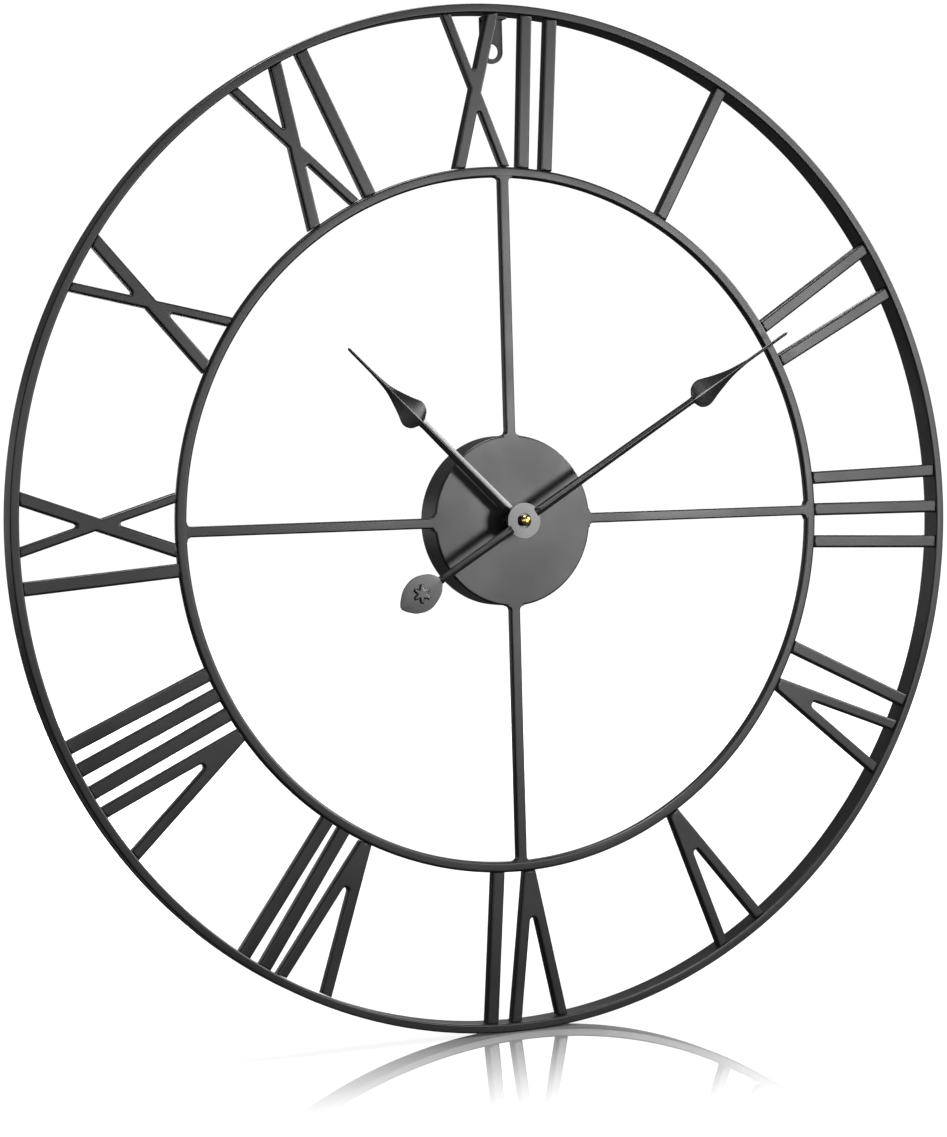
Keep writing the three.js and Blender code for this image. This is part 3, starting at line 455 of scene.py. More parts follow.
class Blank:
    """A mesh in the making, built from rings of points."""

    def __init__(self) -> None:
        """Starts empty."""
        self.points: Ring = []
        self.faces: list[tuple[int, ...]] = []

    def sweep(self, rings: Sequence[Ring], loop: bool = False) -> "Blank":
        """Skins a row of rings of the same count, closed round or capped at both ends.

        Args:
            rings: The rings in order.
            loop: True joins the last ring to the first.

        Returns:
            The blank, for chaining.
        """
        start, size = len(self.points), len(rings[0])
        for ring in rings:
            self.points.extend(ring)
        for i in range(len(rings) if loop else len(rings) - 1):
            a = start + i * size
            b = start + ((i + 1) % len(rings)) * size
            for k in range(size):
                n = (k + 1) % size
                self.faces.append((a + k, a + n, b + n, b + k))
        if not loop:
            end = start + (len(rings) - 1) * size
            self.faces.append(tuple(range(start + size - 1, start - 1, -1)))
            self.faces.append(tuple(range(end, end + size)))
        return self

    def turned(
        self,
        profile: Iterable[tuple[float, float]],
        centre: Vector,
        steps: int,
        loop: bool = True,
        along_x: bool = False,
    ) -> "Blank":
        """Turns a profile of (radius, place on the axis) about the depth axis or X.

        Args:
            profile: Points as radius and coordinate along the axis.
            centre: A point on the axis.
            steps: Facets round the axis.
            loop: True for a closed ring, False for a solid with capped ends.
            along_x: True turns about X in place of Y.

        Returns:
            The blank, for chaining.
        """
        rings = []
        for radius, place in profile:
            ring = []
            for k in range(steps):
                angle = 2 * math.pi * k / steps
                u, v = radius * math.cos(angle), radius * math.sin(angle)
                if along_x:
                    ring.append(Vector((place, centre.y + u, centre.z + v)))
                else:
                    ring.append(Vector((centre.x + u, place, centre.z + v)))
            rings.append(ring)
        return self.sweep(rings, loop)

    def finish(self, name: str, sharp: float = 38.0) -> bpy.types.Object:
        """Makes the object, its faces pointing out and its corners sharp past an angle.

        Args:
            name: The piece's name.
            sharp: The angle in degrees past which an edge stays sharp.

        Returns:
            The new object, linked to the scene.
        """
        mesh = bpy.data.meshes.new(name)
        mesh.from_pydata([tuple(p) for p in self.points], [], self.faces)
        shape = bmesh.new()
        shape.from_mesh(mesh)
        bmesh.ops.recalc_face_normals(shape, faces=shape.faces)
        shape.to_mesh(mesh)
        shape.free()
        mesh.shade_smooth()
        mesh.set_sharp_from_angle(angle=math.radians(sharp))
        piece = bpy.data.objects.new(name, mesh)
        bpy.context.scene.collection.objects.link(piece)
        flatten = piece.modifiers.new("flat_faces", "WEIGHTED_NORMAL")
        flatten.keep_sharp = True
        flatten.weight = 100
        return piece


@dataclass
class SubAssembly:
    """What every sub-assembly shares: the paint shop and the dial's axis."""

    shop: PaintShop
    axis: Vector

    def dress(
        self, piece: bpy.types.Object, body: Body, slot: Slot, replaced: Sequence[str] = ()
    ) -> bpy.types.Object:
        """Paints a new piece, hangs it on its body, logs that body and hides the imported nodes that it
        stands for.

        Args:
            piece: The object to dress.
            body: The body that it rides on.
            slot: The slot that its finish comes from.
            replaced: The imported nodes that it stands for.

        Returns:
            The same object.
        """
        piece.data.materials.append(self.shop.material(slot))
        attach(piece, body.value)
        if replaced:
            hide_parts(*replaced)
        LOG.info("%s rides on %s in %s", piece.name, body.value, slot.value)
        return piece


# ------------------------------------------------------------------ rings and cup


@dataclass
class TurnedRing(SubAssembly):
    """A ring bent from flat bar, with its four long edges eased."""

    node: str = "outer_ring"
    band: float = OUTER_BAND
    edge: float = 1.0 * MM
    steps: int = 720

    def build(self) -> bpy.types.Object:
        """Turns the ring to its node's radius and depth."""
        low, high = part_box(self.node)
        outer = (high.x - low.x) / 2
        inner = outer - self.band
        corners = [(inner, low.y), (outer, low.y), (outer, high.y), (inner, high.y)]
        profile = rounded([(r, y, self.edge) for r, y in corners])
        ring = Blank().turned(profile, self.axis, self.steps).finish(self.node + "_fine")
        return self.dress(ring, Body.FRAME, Slot.CHARCOAL, [self.node])


@dataclass
class HubCup(SubAssembly):
    """The round cup behind the hands: a flat face, a rolled edge and a deep wall."""

    node: str = "hub_cup"
    wall: float = 1.2 * MM
    edge: float = 1.1 * MM
    lip: float = 0.35 * MM
    hole_edge: float = 0.2 * MM
    steps: int = 360

    def face_hole(self) -> float:
        """The radius of the hole that the movement's bush passes through."""
        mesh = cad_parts[self.node].data
        spread = [math.hypot(v.co.x - self.axis.x, v.co.z - self.axis.z) for v in mesh.vertices]
        return min(spread)

    def build(self) -> bpy.types.Object:
        """Turns the cup from its face hole to its back rim."""
        low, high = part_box(self.node)
        outer, hole = (high.x - low.x) / 2, self.face_hole()
        inner, behind = outer - self.wall, low.y + self.wall
        profile = rounded([
            (hole, low.y, self.hole_edge), (outer, low.y, self.edge), (outer, high.y, self.lip),
            (inner, high.y, self.lip), (inner, behind, self.lip), (hole, behind, self.hole_edge),
        ])
        cup = Blank().turned(profile, self.axis, self.steps).finish(self.node + "_fine")
        return self.dress(cup, Body.FRAME, Slot.CHARCOAL, [self.node])


@dataclass
class Spokes(SubAssembly):
    """Four flat bars whose welds flow into the cup and the inner ring."""

    width: float = 6.0 * MM
    edge: float = 0.9 * MM
    flare: float = 2.6 * MM
    sink: float = 1.1 * MM
    flare_steps: int = 8
    nodes: tuple[str, ...] = ("spoke_12", "spoke_3", "spoke_6", "spoke_9")

    def reaches(self, start: float, end: float) -> list[tuple[float, float]]:
        """Places along a spoke, its ends flared like a weld.

        Args:
            start: The cup's radius.
            end: The inner ring's inner radius.

        Returns:
            Distances out from the axis, with the bar's half width at each.
        """
        half = self.width / 2
        steps = [k / self.flare_steps for k in range(self.flare_steps + 1)]
        rise = [(t * self.flare, self.flare * (1 - math.sqrt(1 - (1 - t) ** 2))) for t in steps]
        first = [(start + out, half + grow) for out, grow in rise]
        last = [(end - out, half + grow) for out, grow in reversed(rise)]
        wide = half + self.flare
        return [(start - self.sink, wide), *first, *last, (end + self.sink, wide)]

    def build(self) -> list[bpy.types.Object]:
        """Sweeps the bar's rounded section out along each spoke."""
        cup_low, cup_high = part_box("hub_cup")
        ring_low, ring_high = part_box("inner_ring")
        start = (cup_high.x - cup_low.x) / 2
        end = (ring_high.x - ring_low.x) / 2 - INNER_BAND
        made = []
        for node in self.nodes:
            low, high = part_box(node)
            middle = (low + high) / 2 - self.axis
            out = Vector((middle.x, 0, middle.z)).normalized()
            side = Vector((out.z, 0, -out.x))
            rings = []
            for reach, half in self.reaches(start, end):
                corners = [(-half, low.y), (half, low.y), (half, high.y), (-half, high.y)]
                section = rounded([(u, y, self.edge) for u, y in corners], 5)
                base = self.axis + out * reach
                rings.append([Vector((base.x, y, base.z)) + side * u for u, y in section])
            piece = Blank().sweep(rings).finish(node + "_fine")
            made.append(self.dress(piece, Body.FRAME, Slot.CHARCOAL, [node]))
        return made


# ------------------------------------------------------------------ numerals


@dataclass
class PressedStrokes(SubAssembly):
    """The strokes of the numerals: shallow trays of sheet, rolled over in front."""

    sheet: float = 1.0 * MM
    edge: float = 1.25 * MM
    hold: float = 0.3 * MM
    inner_edge: float = 0.6 * MM
    rim_edge: float = 0.15 * MM
    arc_steps: int = 6
    weld: float = 0.6 * MM
    weld_zone: float = 2.0 * MM
    sharp: float = 50.0

    def welded(self, points: Sequence[tuple[float, float]]) -> list[tuple[float, float]]:
        """Runs a stroke's ends into the two rings, as its welds do.

        Args:
            points: The outline as (x, z) points.

        Returns:
            The outline with its end points moved along the dial's radius.
        """
        reaches = [math.hypot(x - self.axis.x, z - self.axis.z) for x, z in points]
        near, far = min(reaches), max(reaches)
        moved = []
        for (x, z), reach in zip(points, reaches):
            shift = self.weld if reach > far - self.weld_zone else 0.0
            shift = -self.weld if reach < near + self.weld_zone else shift
            gain = (reach + shift) / reach
            moved.append((self.axis.x + (x - self.axis.x) * gain, self.axis.z + (z - self.axis.z) * gain))
        return moved

    def outline_of(self, node: str) -> list[tuple[float, float]]:
        """Reads a stroke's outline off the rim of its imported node.

        Args:
            node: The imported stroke.

        Returns:
            The outline as (x, z) points, anticlockwise.
        """
        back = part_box(node)[1].y
        shape = bmesh.new()
        shape.from_mesh(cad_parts[node].data)
        bmesh.ops.remove_doubles(shape, verts=shape.verts, dist=SAME_POINT)
        rim = {f for f in shape.faces if all(abs(v.co.y - back) < SAME_DEPTH for v in f.verts)}
        edges = {e for f in rim for e in f.edges if sum(g in rim for g in e.link_faces) == 1}
        loops = []
        while edges:
            edge = edges.pop()
            start, here = edge.verts
            loop = [start, here]
            while here is not start:
                edge = next(e for e in here.link_edges if e in edges)
                edges.discard(edge)
                here = edge.other_vert(here)
                loop.append(here)
            loops.append([(v.co.x, v.co.z) for v in loop[:-1]])
        shape.free()
        outline = max(loops, key=lambda points: abs(self.area(points)))
        if self.area(outline) < 0:
            outline.reverse()
        return self.thinned(outline)

    @staticmethod
    def area(points: Sequence[tuple[float, float]]) -> float:
        """Signed area of an outline.

        Args:
            points: The outline's points.

        Returns:
            The area, positive for an anticlockwise outline.
        """
        pairs = zip(points, [*points[1:], points[0]])
        return sum(a[0] * b[1] - b[0] * a[1] for a, b in pairs) / 2

    @staticmethod
    def thinned(points: Sequence[tuple[float, float]], bend: float = 0.004) -> list[tuple[float, float]]:
        """Drops points that lie on a straight run.

        Args:
            points: The outline's points.
            bend: The turn in radians past which a point is kept.

        Returns:
            The points where the outline turns.
        """
        kept = []
        for i, here in enumerate(points):
            before = Vector(here) - Vector(points[i - 1])
            after = Vector(points[(i + 1) % len(points)]) - Vector(here)
            apart = min(before.length, after.length) > SAME_POINT
            if apart and before.angle(after) > bend:
                kept.append(here)
        return kept

    def build(self) -> list[bpy.types.Object]:
        """Presses every stroke: hollow behind, rolled edge and flat face in front."""
        names = sorted(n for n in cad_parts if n.startswith("hour_") and n[5].isdigit())
        return [self.stroke(name) for name in names]

    def stroke(self, node: str) -> bpy.types.Object:
        """Builds one stroke in the place of its node.

        Args:
            node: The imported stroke.

        Returns:
            The finished stroke.
        """
        low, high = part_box(node)
        outline = self.welded(self.outline_of(node))
        floor = low.y + self.sheet
        levels = [
            (self.sheet + self.inner_edge, floor),
            (self.sheet, floor + self.inner_edge),
            (self.sheet, high.y),
            (self.rim_edge, high.y),
            (0.0, high.y - self.rim_edge),
        ]
        for k in range(self.arc_steps + 1):
            turn = math.pi / 2 * k / self.arc_steps
            drop = self.edge * (1 - math.sin(turn))
            levels.append((self.edge * (1 - math.cos(turn)), low.y + drop))
        levels.append((self.edge + self.hold, low.y))
        rings = []
        for depth, y in levels:
            rings.append([Vector((x, y, z)) for x, z in inset(outline, depth)])
        piece = Blank().sweep(rings).finish(node + "_fine", self.sharp)
        return self.dress(piece, Body.FRAME, Slot.CHARCOAL, [node])


# ------------------------------------------------------------------ hands


Station = tuple[float, float, float]


@dataclass
class Arm:
    """One arm of a hand in millimetres: stem, bow and tip as the hand is cut.

    Each station is the distance along the hand, the half width and the share of the
    crease's height. The bow is a smooth curve through its points.
    """

    stem: list[Station]
    bow: list[tuple[float, float]]
    tip: list[Station]
    crease: tuple[float, float]
    bow_steps: int = 60

    def curve(self, place: float) -> tuple[float, float]:
        """The bow's smooth curve through its points.

        Args:
            place: From 0 at its first point to 1 at its last.

        Returns:
            Distance along the hand and half width there.
        """
        last = len(self.bow) - 1
        scaled = place * last
        i = min(int(scaled), last - 1)
        t = scaled - i
        p0, p1 = Vector(self.bow[max(i - 1, 0)]), Vector(self.bow[i])
        p2, p3 = Vector(self.bow[i + 1]), Vector(self.bow[min(i + 2, last)])
        v1, v2 = (p2 - p0) / 2, (p3 - p1) / 2
        cube = (2 * p1 - 2 * p2 + v1 + v2) * t**3
        at = cube + (3 * p2 - 3 * p1 - 2 * v1 - v2) * t**2 + v1 * t + p1
        return at.x, at.y

    def stations(self) -> list[Station]:
        """Every station of the arm, from the hub outwards, in millimetres."""
        low, high = self.crease
        smooth = []
        for i in range(self.bow_steps + 1):
            share = i / self.bow_steps
            along, half = self.curve(share)
            smooth.append((along, half, low + (high - low) * share))
        return [*self.stem, *smooth, *self.tip]


@dataclass
class SpadeHand(SubAssembly):
    """A spade hand of thin sheet, folded along its middle into a sharp crease."""

    node: str = "minute_hand"
    body: Body = Body.MINUTE
    arms: list[Arm] = field(default_factory=list)
    tail: Optional[Arm] = None
    hub: float = 10.6 * MM
    eye: float = 4.2 * MM
    sheet: float = 0.7 * MM
    ease: float = 0.22 * MM
    fold: float = 0.42 * MM
    fold_reach: float = 2.4
    fold_spots: tuple[float, ...] = (0.0, 0.2, 0.45, 1.0)
    tip_zone: float = 0.05 * MM
    hub_steps: int = 180
    sharp: float = 20.0
    star_at: float = 0.0
    star_radius: float = 5.6 * MM
    star_rise: float = 0.9 * MM
    star_edge: float = 0.75 * MM
    star_points: int = 6
    star_waist: float = 0.56
    star_flat: float = 0.17
    star_steps: int = 4

    def direction(self) -> Vector:
        """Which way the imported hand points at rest."""
        spread = [v.co - self.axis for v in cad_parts[self.node].data.vertices]
        flat = [Vector((p.x, 0, p.z)) for p in spread]
        reach = max(p.length for p in flat)
        tip = [p for p in flat if p.length > reach - self.tip_zone]
        return sum(tip, Vector()).normalized()

    def section(self, half: float, share: float, front: float, crease: float) -> list[tuple[float, float]]:
        """The hand's cross-section at one station.

        Args:
            half: Half the width there.
            share: The crease's height as a share.
            front: The depth of the flat sheet's front.
            crease: The crease's full height.

        Returns:
            Points as (across, depth), closed.
        """
        ease = min(self.ease, half * 0.4)
        fold = min(self.fold, half * 0.35)
        near = min(self.fold_reach * self.fold, half * 0.5)
        flat = half - ease
        spots = [(near * spot, 0.0) for spot in self.fold_spots]
        spots += [((near + flat) / 2, 0.0), (flat, 0.0), (half - ease * 0.3, ease * 0.3), (half, ease)]
        top = []
        under = []
        for across, drop in spots:
            height = crease * share * (1 - math.hypot(across, fold) / (half + fold))
            top.append((across, front - height + drop))
            under.append((across, front - height + self.sheet - drop * 0.5))
        left = [(-u, y) for u, y in reversed(top[1:])]
        right_under = list(reversed(under))
        left_under = [(-u, y) for u, y in under[1:]]
        return [*left, *top, *right_under, *left_under]

    def star(self, centre: Vector, along: Vector, side: Vector, front: float, blank: Blank) -> None:
        """Adds the raised star to the counterweight.

        Args:
            centre: The star's middle.
            along: The direction of the hand.
            side: The direction across the hand.
            front: The depth of the flat sheet's front.
            blank: The hand in the making.
        """
        points = []
        for i in range(self.star_points):
            turn = 2 * math.pi * i / self.star_points
            for shift, reach in (
                (-self.star_flat, 1.0), (self.star_flat, 1.0), (math.pi / self.star_points, self.star_waist)
            ):
                radius = self.star_radius * reach
                points.append((radius * math.sin(turn + shift), radius * math.cos(turn + shift)))
        points.reverse()
        top = front - self.star_rise
        bevel = self.star_edge
        levels = [(0.0, front + self.sheet / 2), (0.0, top + bevel)]
        for k in range(1, self.star_steps + 1):
            turn = math.pi / 2 * k / self.star_steps
            levels.append((bevel * (1 - math.cos(turn)), top + bevel * (1 - math.sin(turn))))
        levels.append((bevel * 1.2, top))
        rings = []
        for depth, y in levels:
            ring = []
            for u, s in inset(points, depth):
                spot = centre + side * u + along * s
                ring.append(Vector((spot.x, y, spot.z)))
            rings.append(ring)
        blank.sweep(rings)

    def build(self) -> bpy.types.Object:
        """Builds the arms, the hub and the star as one piece."""
        low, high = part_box(self.node)
        front = high.y - self.sheet
        crease = front - low.y
        out = self.direction()
        side = Vector((out.z, 0, -out.x))
        blank = Blank()
        runs = [(arm, 1) for arm in self.arms]
        if self.tail:
            runs.append((self.tail, -1))
        for arm, way in runs:
            rings = []
            for along, half, share in arm.stations():
                base = self.axis + out * (along * MM * way)
                section = self.section(half * MM, share, front, crease)
                rings.append([Vector((base.x, y, base.z)) + side * u for u, y in section])
            blank.sweep(rings)
        back = front + self.sheet
        corners = [(self.eye, front), (self.hub, front), (self.hub, back), (self.eye, back)]
        profile = rounded([(r, y, self.ease) for r, y in corners], 4)
        blank.turned(profile, self.axis, self.hub_steps)
        if self.star_at:
            self.star(self.axis + out * self.star_at, out, side, front, blank)
        hand = blank.finish(self.node + "_fine", self.sharp)
        return self.dress(hand, self.body, Slot.HAND, [self.node])


@dataclass
class HandNut(SubAssembly):
    """The domed brass nut that holds the minute hand on its arbor."""

    node: str = "hand_nut"
    dome: float = 1.5 * MM
    foot_edge: float = 0.2 * MM
    steps: int = 12
    around: int = 64

    def build(self) -> bpy.types.Object:
        """Turns the nut with its domed head."""
        low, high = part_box(self.node)
        radius = (high.x - low.x) / 2
        profile = []
        for k in range(1, self.steps + 1):
            turn = math.pi / 2 * k / self.steps
            profile.append((radius * math.sin(turn), low.y + self.dome * (1 - math.cos(turn))))
        profile += [(radius, high.y - self.foot_edge), (radius - self.foot_edge, high.y)]
        nut = Blank().turned(profile, self.axis, self.around, loop=False).finish(self.node + "_fine")
        return self.dress(nut, Body.MINUTE, Slot.BRASS, [self.node])


# ------------------------------------------------------------------ movement


@dataclass
class Movement(SubAssembly):
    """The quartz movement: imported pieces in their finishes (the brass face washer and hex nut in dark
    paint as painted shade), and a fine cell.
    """

    cell_edge: float = 0.8 * MM
    button_radius: float = 2.7 * MM
    button_length: float = 1.1 * MM
    button_edge: float = 0.4 * MM
    button_root: float = 0.3 * MM
    soft_edge: float = 0.35 * MM
    soft_angle: float = 40.0
    around: int = 96
    slots: dict[str, Slot] = field(default_factory=lambda: {
        "hanger": Slot.CHARCOAL,
        "minute_collet": Slot.HAND,
        "threaded_bush": Slot.BRASS,
        # The face washer and hex nut are brass: their charcoal paint is painted shade for the shadow that
        # falls beside the hub.
        "face_washer": Slot.CHARCOAL,
        "hex_nut": Slot.CHARCOAL,
        "gasket": Slot.RUBBER,
        "case_front": Slot.CASE,
        "case_back": Slot.CASE,
        "train_bridge": Slot.CASE,
        "minute_arbor": Slot.STEEL,
        "rotor": Slot.STEEL,
        "stator": Slot.STEEL,
        "contact_plus": Slot.STEEL,
        "contact_minus": Slot.STEEL,
        "coil": Slot.COPPER,
        "circuit_board": Slot.BOARD,
        "hour_wheel": Slot.GEAR,
        "motion_wheel": Slot.GEAR,
        "setting_knob": Slot.GEAR,
        "centre_wheel": Slot.GEAR,
        "third_wheel": Slot.GEAR,
        "second_wheel": Slot.GEAR,
        "intermediate_wheel": Slot.GEAR,
    })
    softened: tuple[str, ...] = ("hanger", "case_front", "case_back")

    def paint_nodes(self) -> None:
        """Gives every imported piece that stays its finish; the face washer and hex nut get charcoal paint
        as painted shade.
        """
        for node, slot in self.slots.items():
            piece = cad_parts[node]
            for holder in piece.material_slots:
                holder.material = self.shop.material(slot)
            LOG.info("%s keeps its packed shape in %s", node, slot.value)

    def soften_edges(self) -> None:
        """Eases the moulded and cut edges of the pieces that show."""
        for node in self.softened:
            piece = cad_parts[node]
            weld = piece.modifiers.new("weld", "WELD")
            weld.merge_threshold = SAME_POINT
            bevel = piece.modifiers.new("eased_edges", "BEVEL")
            bevel.width = self.soft_edge
            bevel.segments = 2
            bevel.limit_method = "ANGLE"
            bevel.angle_limit = math.radians(self.soft_angle)

    def cell(self) -> bpy.types.Object:
        """Turns the battery with its rolled ends and its button."""
        low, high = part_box("battery")
        centre = (low + high) / 2
        radius = (high.z - low.z) / 2
        shoulder = high.x - self.button_length
        corners = [
            (self.button_edge, low.x, 0.0),
            (radius, low.x, self.cell_edge),
            (radius, shoulder, self.cell_edge),
            (self.button_radius, shoulder, self.button_root),
            (self.button_radius, high.x, self.button_edge),
            (self.button_edge, high.x, 0.0),
        ]
        profile = rounded(corners, 5)
        blank = Blank().turned(profile, centre, self.around, loop=False, along_x=True)
        return self.dress(blank.finish("battery_fine"), Body.BATTERY, Slot.CELL, ["battery"])

    def build(self) -> bpy.types.Object:
        """Dresses the movement."""
        self.paint_nodes()
        self.soften_edges()
        return self.cell()


# ------------------------------------------------------------------ studio


@dataclass
class SoftBox:
    """A square lamp that faces the dial's middle."""

    name: str
    azimuth: float
    elevation: float
    distance: float
    width: float
    height: float
    power: float

    def hang(self, target: Vector) -> bpy.types.Object:
        """Hangs the lamp so that it looks at the target.

        Args:
            target: The point that it looks at.

        Returns:
            The lamp's object.
        """
        lamp = bpy.data.lights.new(self.name, "AREA")
        lamp.shape = "RECTANGLE"
        lamp.size, lamp.size_y = self.width, self.height
        lamp.energy = self.power
        turn, lift = math.radians(self.azimuth), math.radians(self.elevation)
        away = Vector((math.sin(turn) * math.cos(lift), -math.cos(turn) * math.cos(lift), math.sin(lift)))
        stand = bpy.data.objects.new(self.name, lamp)
        stand.location = target + away * self.distance
        stand.rotation_mode = "QUATERNION"
        stand.rotation_quaternion = (-away).to_track_quat("-Z", "Y")
        bpy.context.scene.collection.objects.link(stand)
        return stand


@dataclass
class Studio:
    """A white room: a pale glossy floor, soft boxes, a white back and the camera."""

    axis: Vector
    floor_size: float = 9.0
    floor_glow: float = 0.20
    far_glow: float = 0.80
    full_glow: float = 1.15
    mirror_reach: float = 0.33
    mirror_share: float = 0.85
    mirror_behind: float = 0.7
    glow_from: float = 0.5
    glow_full_at: float = 1.8
    contact: float = 0.02
    contact_behind: float = 0.03
    camera_offset: Vector = field(default_factory=lambda: Vector((-0.66885, -1.40828, 0.0265)))
    camera_yaw: float = -24.518
    camera_pitch: float = -1.728
    camera_roll: float = 1.06
    dial_roll: float = 0.6
    lens: float = 84.5
    front_level: float = 0.02
    back_level: float = 0.10
    white_level: float = 1.05
    last_white_bounce: float = 2.0
    boxes: tuple[SoftBox, ...] = (
        SoftBox("key_box", 29.5, 4.0, 2.6, 0.75, 0.65, 21.0),
        SoftBox("top_right_box", 66.0, 22.0, 2.4, 0.9, 0.7, 34.0),
        SoftBox("strip_box", 5.0, 36.0, 2.4, 0.3, 0.2, 1.5),
        SoftBox("left_fill", -66.0, 10.0, 2.6, 0.5, 1.2, 3.0),
        SoftBox("front_fill", 0.0, 5.0, 2.6, 0.7, 0.7, 5.0),
        SoftBox("right_view_fill", -30.0, 6.0, 2.6, 0.8, 0.7, 8.0),
        SoftBox("back_left", 207.0, 4.0, 2.4, 1.2, 0.6, 0.5),
        SoftBox("back_fill", 178.0, -1.0, 2.4, 1.0, 0.5, 9.0),
        SoftBox("back_top", 140.0, 22.0, 2.4, 0.9, 0.9, 14.0),
        SoftBox("overhead", 0.0, 88.0, 2.2, 1.0, 0.9, 60.0),
    )

    def world(self) -> None:
        """White when looked at or seen in the floor's mirror, dim as a light on the clock."""
        world = bpy.data.worlds.new("white_room")
        bpy.context.scene.world = world
        world.use_nodes = True
        bench = Bench(world.node_tree)
        toward = bench.make("ShaderNodeTexCoord", output="Generated")
        depth = bench.make("ShaderNodeSeparateXYZ", {}, {0: toward}, "Y")
        seen = bench.make("ShaderNodeLightPath", output="Is Camera Ray")
        mirrored = bench.make("ShaderNodeLightPath", output="Is Singular Ray")
        bounces = bench.make("ShaderNodeLightPath", output="Ray Depth")
        late = bounces.step(self.last_white_bounce, self.last_white_bounce + 1)
        white = (seen + mirrored * (1 - late)).step(0.0, 1.0)
        level = self.front_level + depth.step(-0.15, 0.35) * self.back_level
        strength = level * (1 - white) + white * self.white_level
        lit = {"Color": rgba(WHITE), "Strength": strength}
        background = bench.make("ShaderNodeBackground", {}, lit)
        bench.make("ShaderNodeOutputWorld", {}, {"Surface": background})

    def floor(self) -> bpy.types.Object:
        """Lays the floor under the ring's lowest point, polished in front of the clock.

        Returns:
            The floor's object.
        """
        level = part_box("outer_ring")[0].z
        half = self.floor_size / 2
        mesh = bpy.data.meshes.new("floor")
        corners = [(-half, -half, level), (half, -half, level), (half, half, level), (-half, half, level)]
        mesh.from_pydata(corners, [], [(0, 1, 2, 3)])
        floor = bpy.data.objects.new("floor", mesh)
        bpy.context.scene.collection.objects.link(floor)
        material = bpy.data.materials.new("pale_gloss")
        material.use_nodes = True
        bench = Bench(material.node_tree)
        at = bench.make("ShaderNodeTexCoord", output="Object")
        cloud = bench.noise(at, 6.0)
        flat = bench.make("ShaderNodeVectorMath", {"operation": "MULTIPLY"}, {0: at, 1: (1.0, 1.0, 0.0)})
        far = bench.make("ShaderNodeVectorMath", {"operation": "LENGTH"}, {0: flat}, "Value")
        seen = bench.make("ShaderNodeLightPath", output="Is Camera Ray")
        glow = (self.floor_glow + far.step(self.glow_from, self.glow_full_at) * self.far_glow) * seen
        pale = bench.blend(cloud, rgba((0.80, 0.80, 0.80)), rgba((0.84, 0.84, 0.84)))
        white = {
            "Base Color": bench.blend(seen, rgba((0.02, 0.02, 0.02)), pale),
            "Roughness": 0.5 + cloud * 0.05,
            "Specular IOR Level": 0.1,
            "Emission Color": bench.blend(glow, rgba(BLACK), rgba(WHITE)),
            "Emission Strength": self.full_glow,
        }
        matt = bench.make("ShaderNodeBsdfPrincipled", {}, white)
        polish = {"Base Color": rgba(WHITE), "Metallic": 1.0, "Roughness": 0.0}
        mirror = bench.make("ShaderNodeBsdfPrincipled", {}, polish)
        across = bench.make("ShaderNodeSeparateXYZ", {}, {0: at}, "X")
        deep = bench.make("ShaderNodeSeparateXYZ", {}, {0: at}, "Y")
        yaw = math.radians(self.camera_yaw)
        toward = deep * math.cos(yaw) - across * math.sin(yaw)
        behind = 1 - deep.step(0.0, self.contact_behind) * self.mirror_behind
        share = toward.step(-self.mirror_reach, self.contact) * behind * seen * self.mirror_share
        shader = bench.make("ShaderNodeMixShader", {}, {0: share, 1: matt, 2: mirror})
        bench.make("ShaderNodeOutputMaterial", {}, {"Surface": shader})
        mesh.materials.append(material)
        return floor

    def camera(self) -> bpy.types.Object:
        """Stands the camera to the left of the dial, level with its middle."""
        data = bpy.data.cameras.new("camera")
        data.lens = self.lens
        data.sensor_width = 36.0
        turn = Matrix.Rotation(math.radians(self.dial_roll), 3, "Y")
        turn = turn @ Matrix.Rotation(math.radians(self.camera_yaw), 3, "Z")
        turn = turn @ Matrix.Rotation(math.radians(self.camera_pitch), 3, "X")
        turn = turn @ Matrix.Rotation(math.radians(self.camera_roll), 3, "Y")
        stand = Matrix.Rotation(math.radians(90), 3, "X")
        camera = bpy.data.objects.new("camera", data)
        camera.matrix_world = Matrix.Translation(self.axis + self.camera_offset) @ (turn @ stand).to_4x4()
        bpy.context.scene.collection.objects.link(camera)
        bpy.context.scene.camera = camera
        return camera

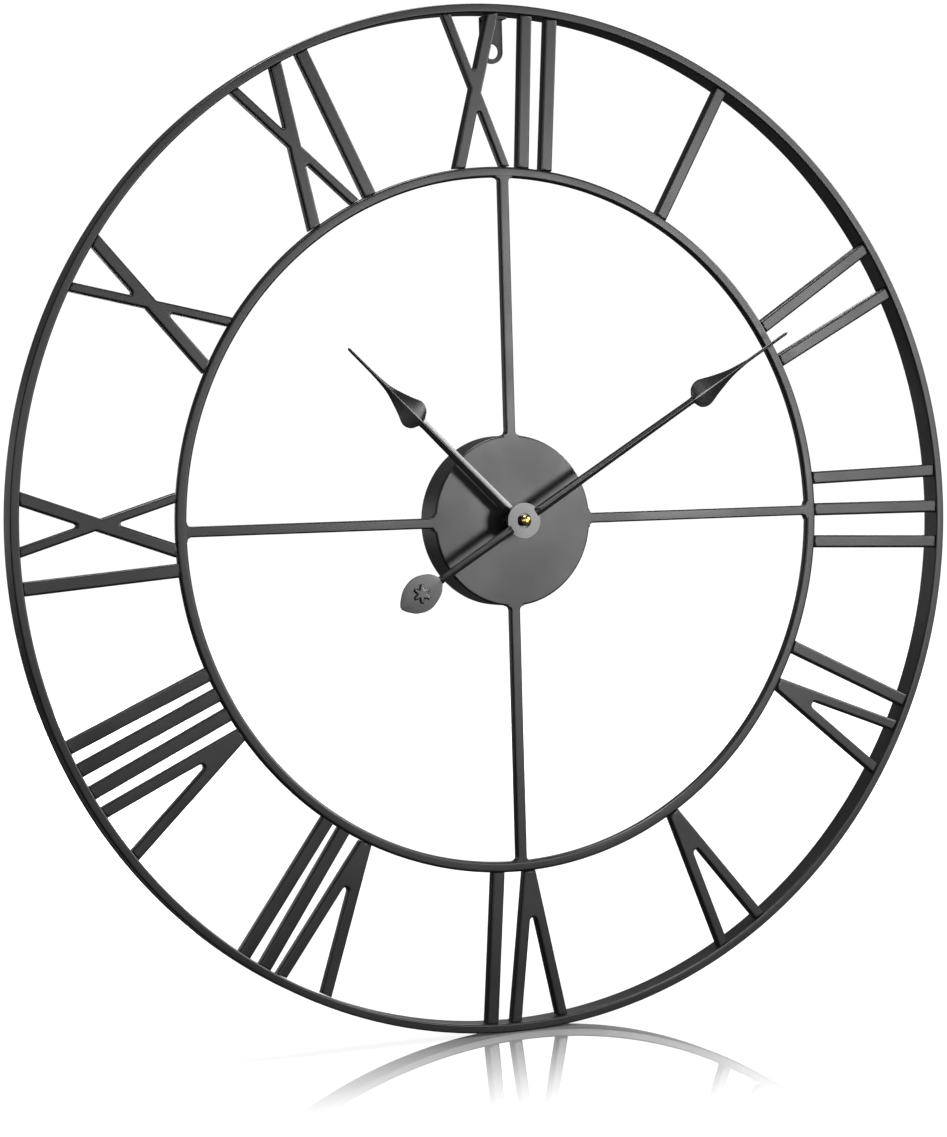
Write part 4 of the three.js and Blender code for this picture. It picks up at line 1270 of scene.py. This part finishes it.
    def build(self) -> None:
        """Sets up the room."""
        bpy.context.scene.view_settings.view_transform = "Standard"
        self.world()
        self.floor()
        for box in self.boxes:
            box.hang(self.axis)
            LOG.info("%s hung", box.name)
        self.camera()


# ------------------------------------------------------------------ the clock


HOUR_ARM = Arm(
    stem=[(7, 3.2, 0.3), (11, 3.2, 1), (81, 2.5, 1)],
    bow=[(83.6, 2.7), (86.4, 7.2), (91.5, 8.9), (99, 6.0), (112, 2.0), (126, 0.95)],
    tip=[(143.6, 0.85, 0.7), (144.8, 0.4, 0.5)],
    crease=(1.0, 0.8),
)
MINUTE_ARM = Arm(
    stem=[(9, 2.6, 0.3), (13, 2.6, 1), (130.5, 2.0, 1)],
    bow=[(132.6, 2.2), (135.6, 6.8), (141.5, 8.4), (151, 5.6), (164, 2.4), (177, 1.0)],
    tip=[(208.6, 0.9, 0.7), (210, 0.4, 0.5)],
    crease=(1.0, 0.8),
)
MINUTE_TAIL = Arm(
    stem=[(9, 2.5, 0.3), (13, 2.5, 1), (60, 2.2, 1)],
    bow=[(63, 2.4), (67.5, 7.3), (76.5, 10.4), (85, 8.2), (90.4, 3.4)],
    tip=[(92, 1.0, 0.02)],
    crease=(0.06, 0.02),
)


def main() -> None:
    """Builds the studio and every sub-assembly, in order."""
    logging.basicConfig(level=logging.INFO, format="%(name)s: %(message)s")
    low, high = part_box("outer_ring")
    axis = Vector(((low.x + high.x) / 2, low.y, (low.z + high.z) / 2))
    shop = PaintShop()
    Studio(axis).build()
    TurnedRing(shop, axis).build()
    TurnedRing(shop, axis, node="inner_ring", band=INNER_BAND, edge=1.5 * MM).build()
    HubCup(shop, axis).build()
    Spokes(shop, axis).build()
    PressedStrokes(shop, axis).build()
    hour_hand = SpadeHand(
        shop, axis, node="hour_hand", body=Body.HOUR, arms=[HOUR_ARM], hub=8.8 * MM, eye=2.8 * MM
    )
    hour_hand.build()
    SpadeHand(shop, axis, arms=[MINUTE_ARM], tail=MINUTE_TAIL, star_at=-77 * MM).build()
    HandNut(shop, axis).build()
    Movement(shop, axis).build()


if __name__ == "__main__":
    main()
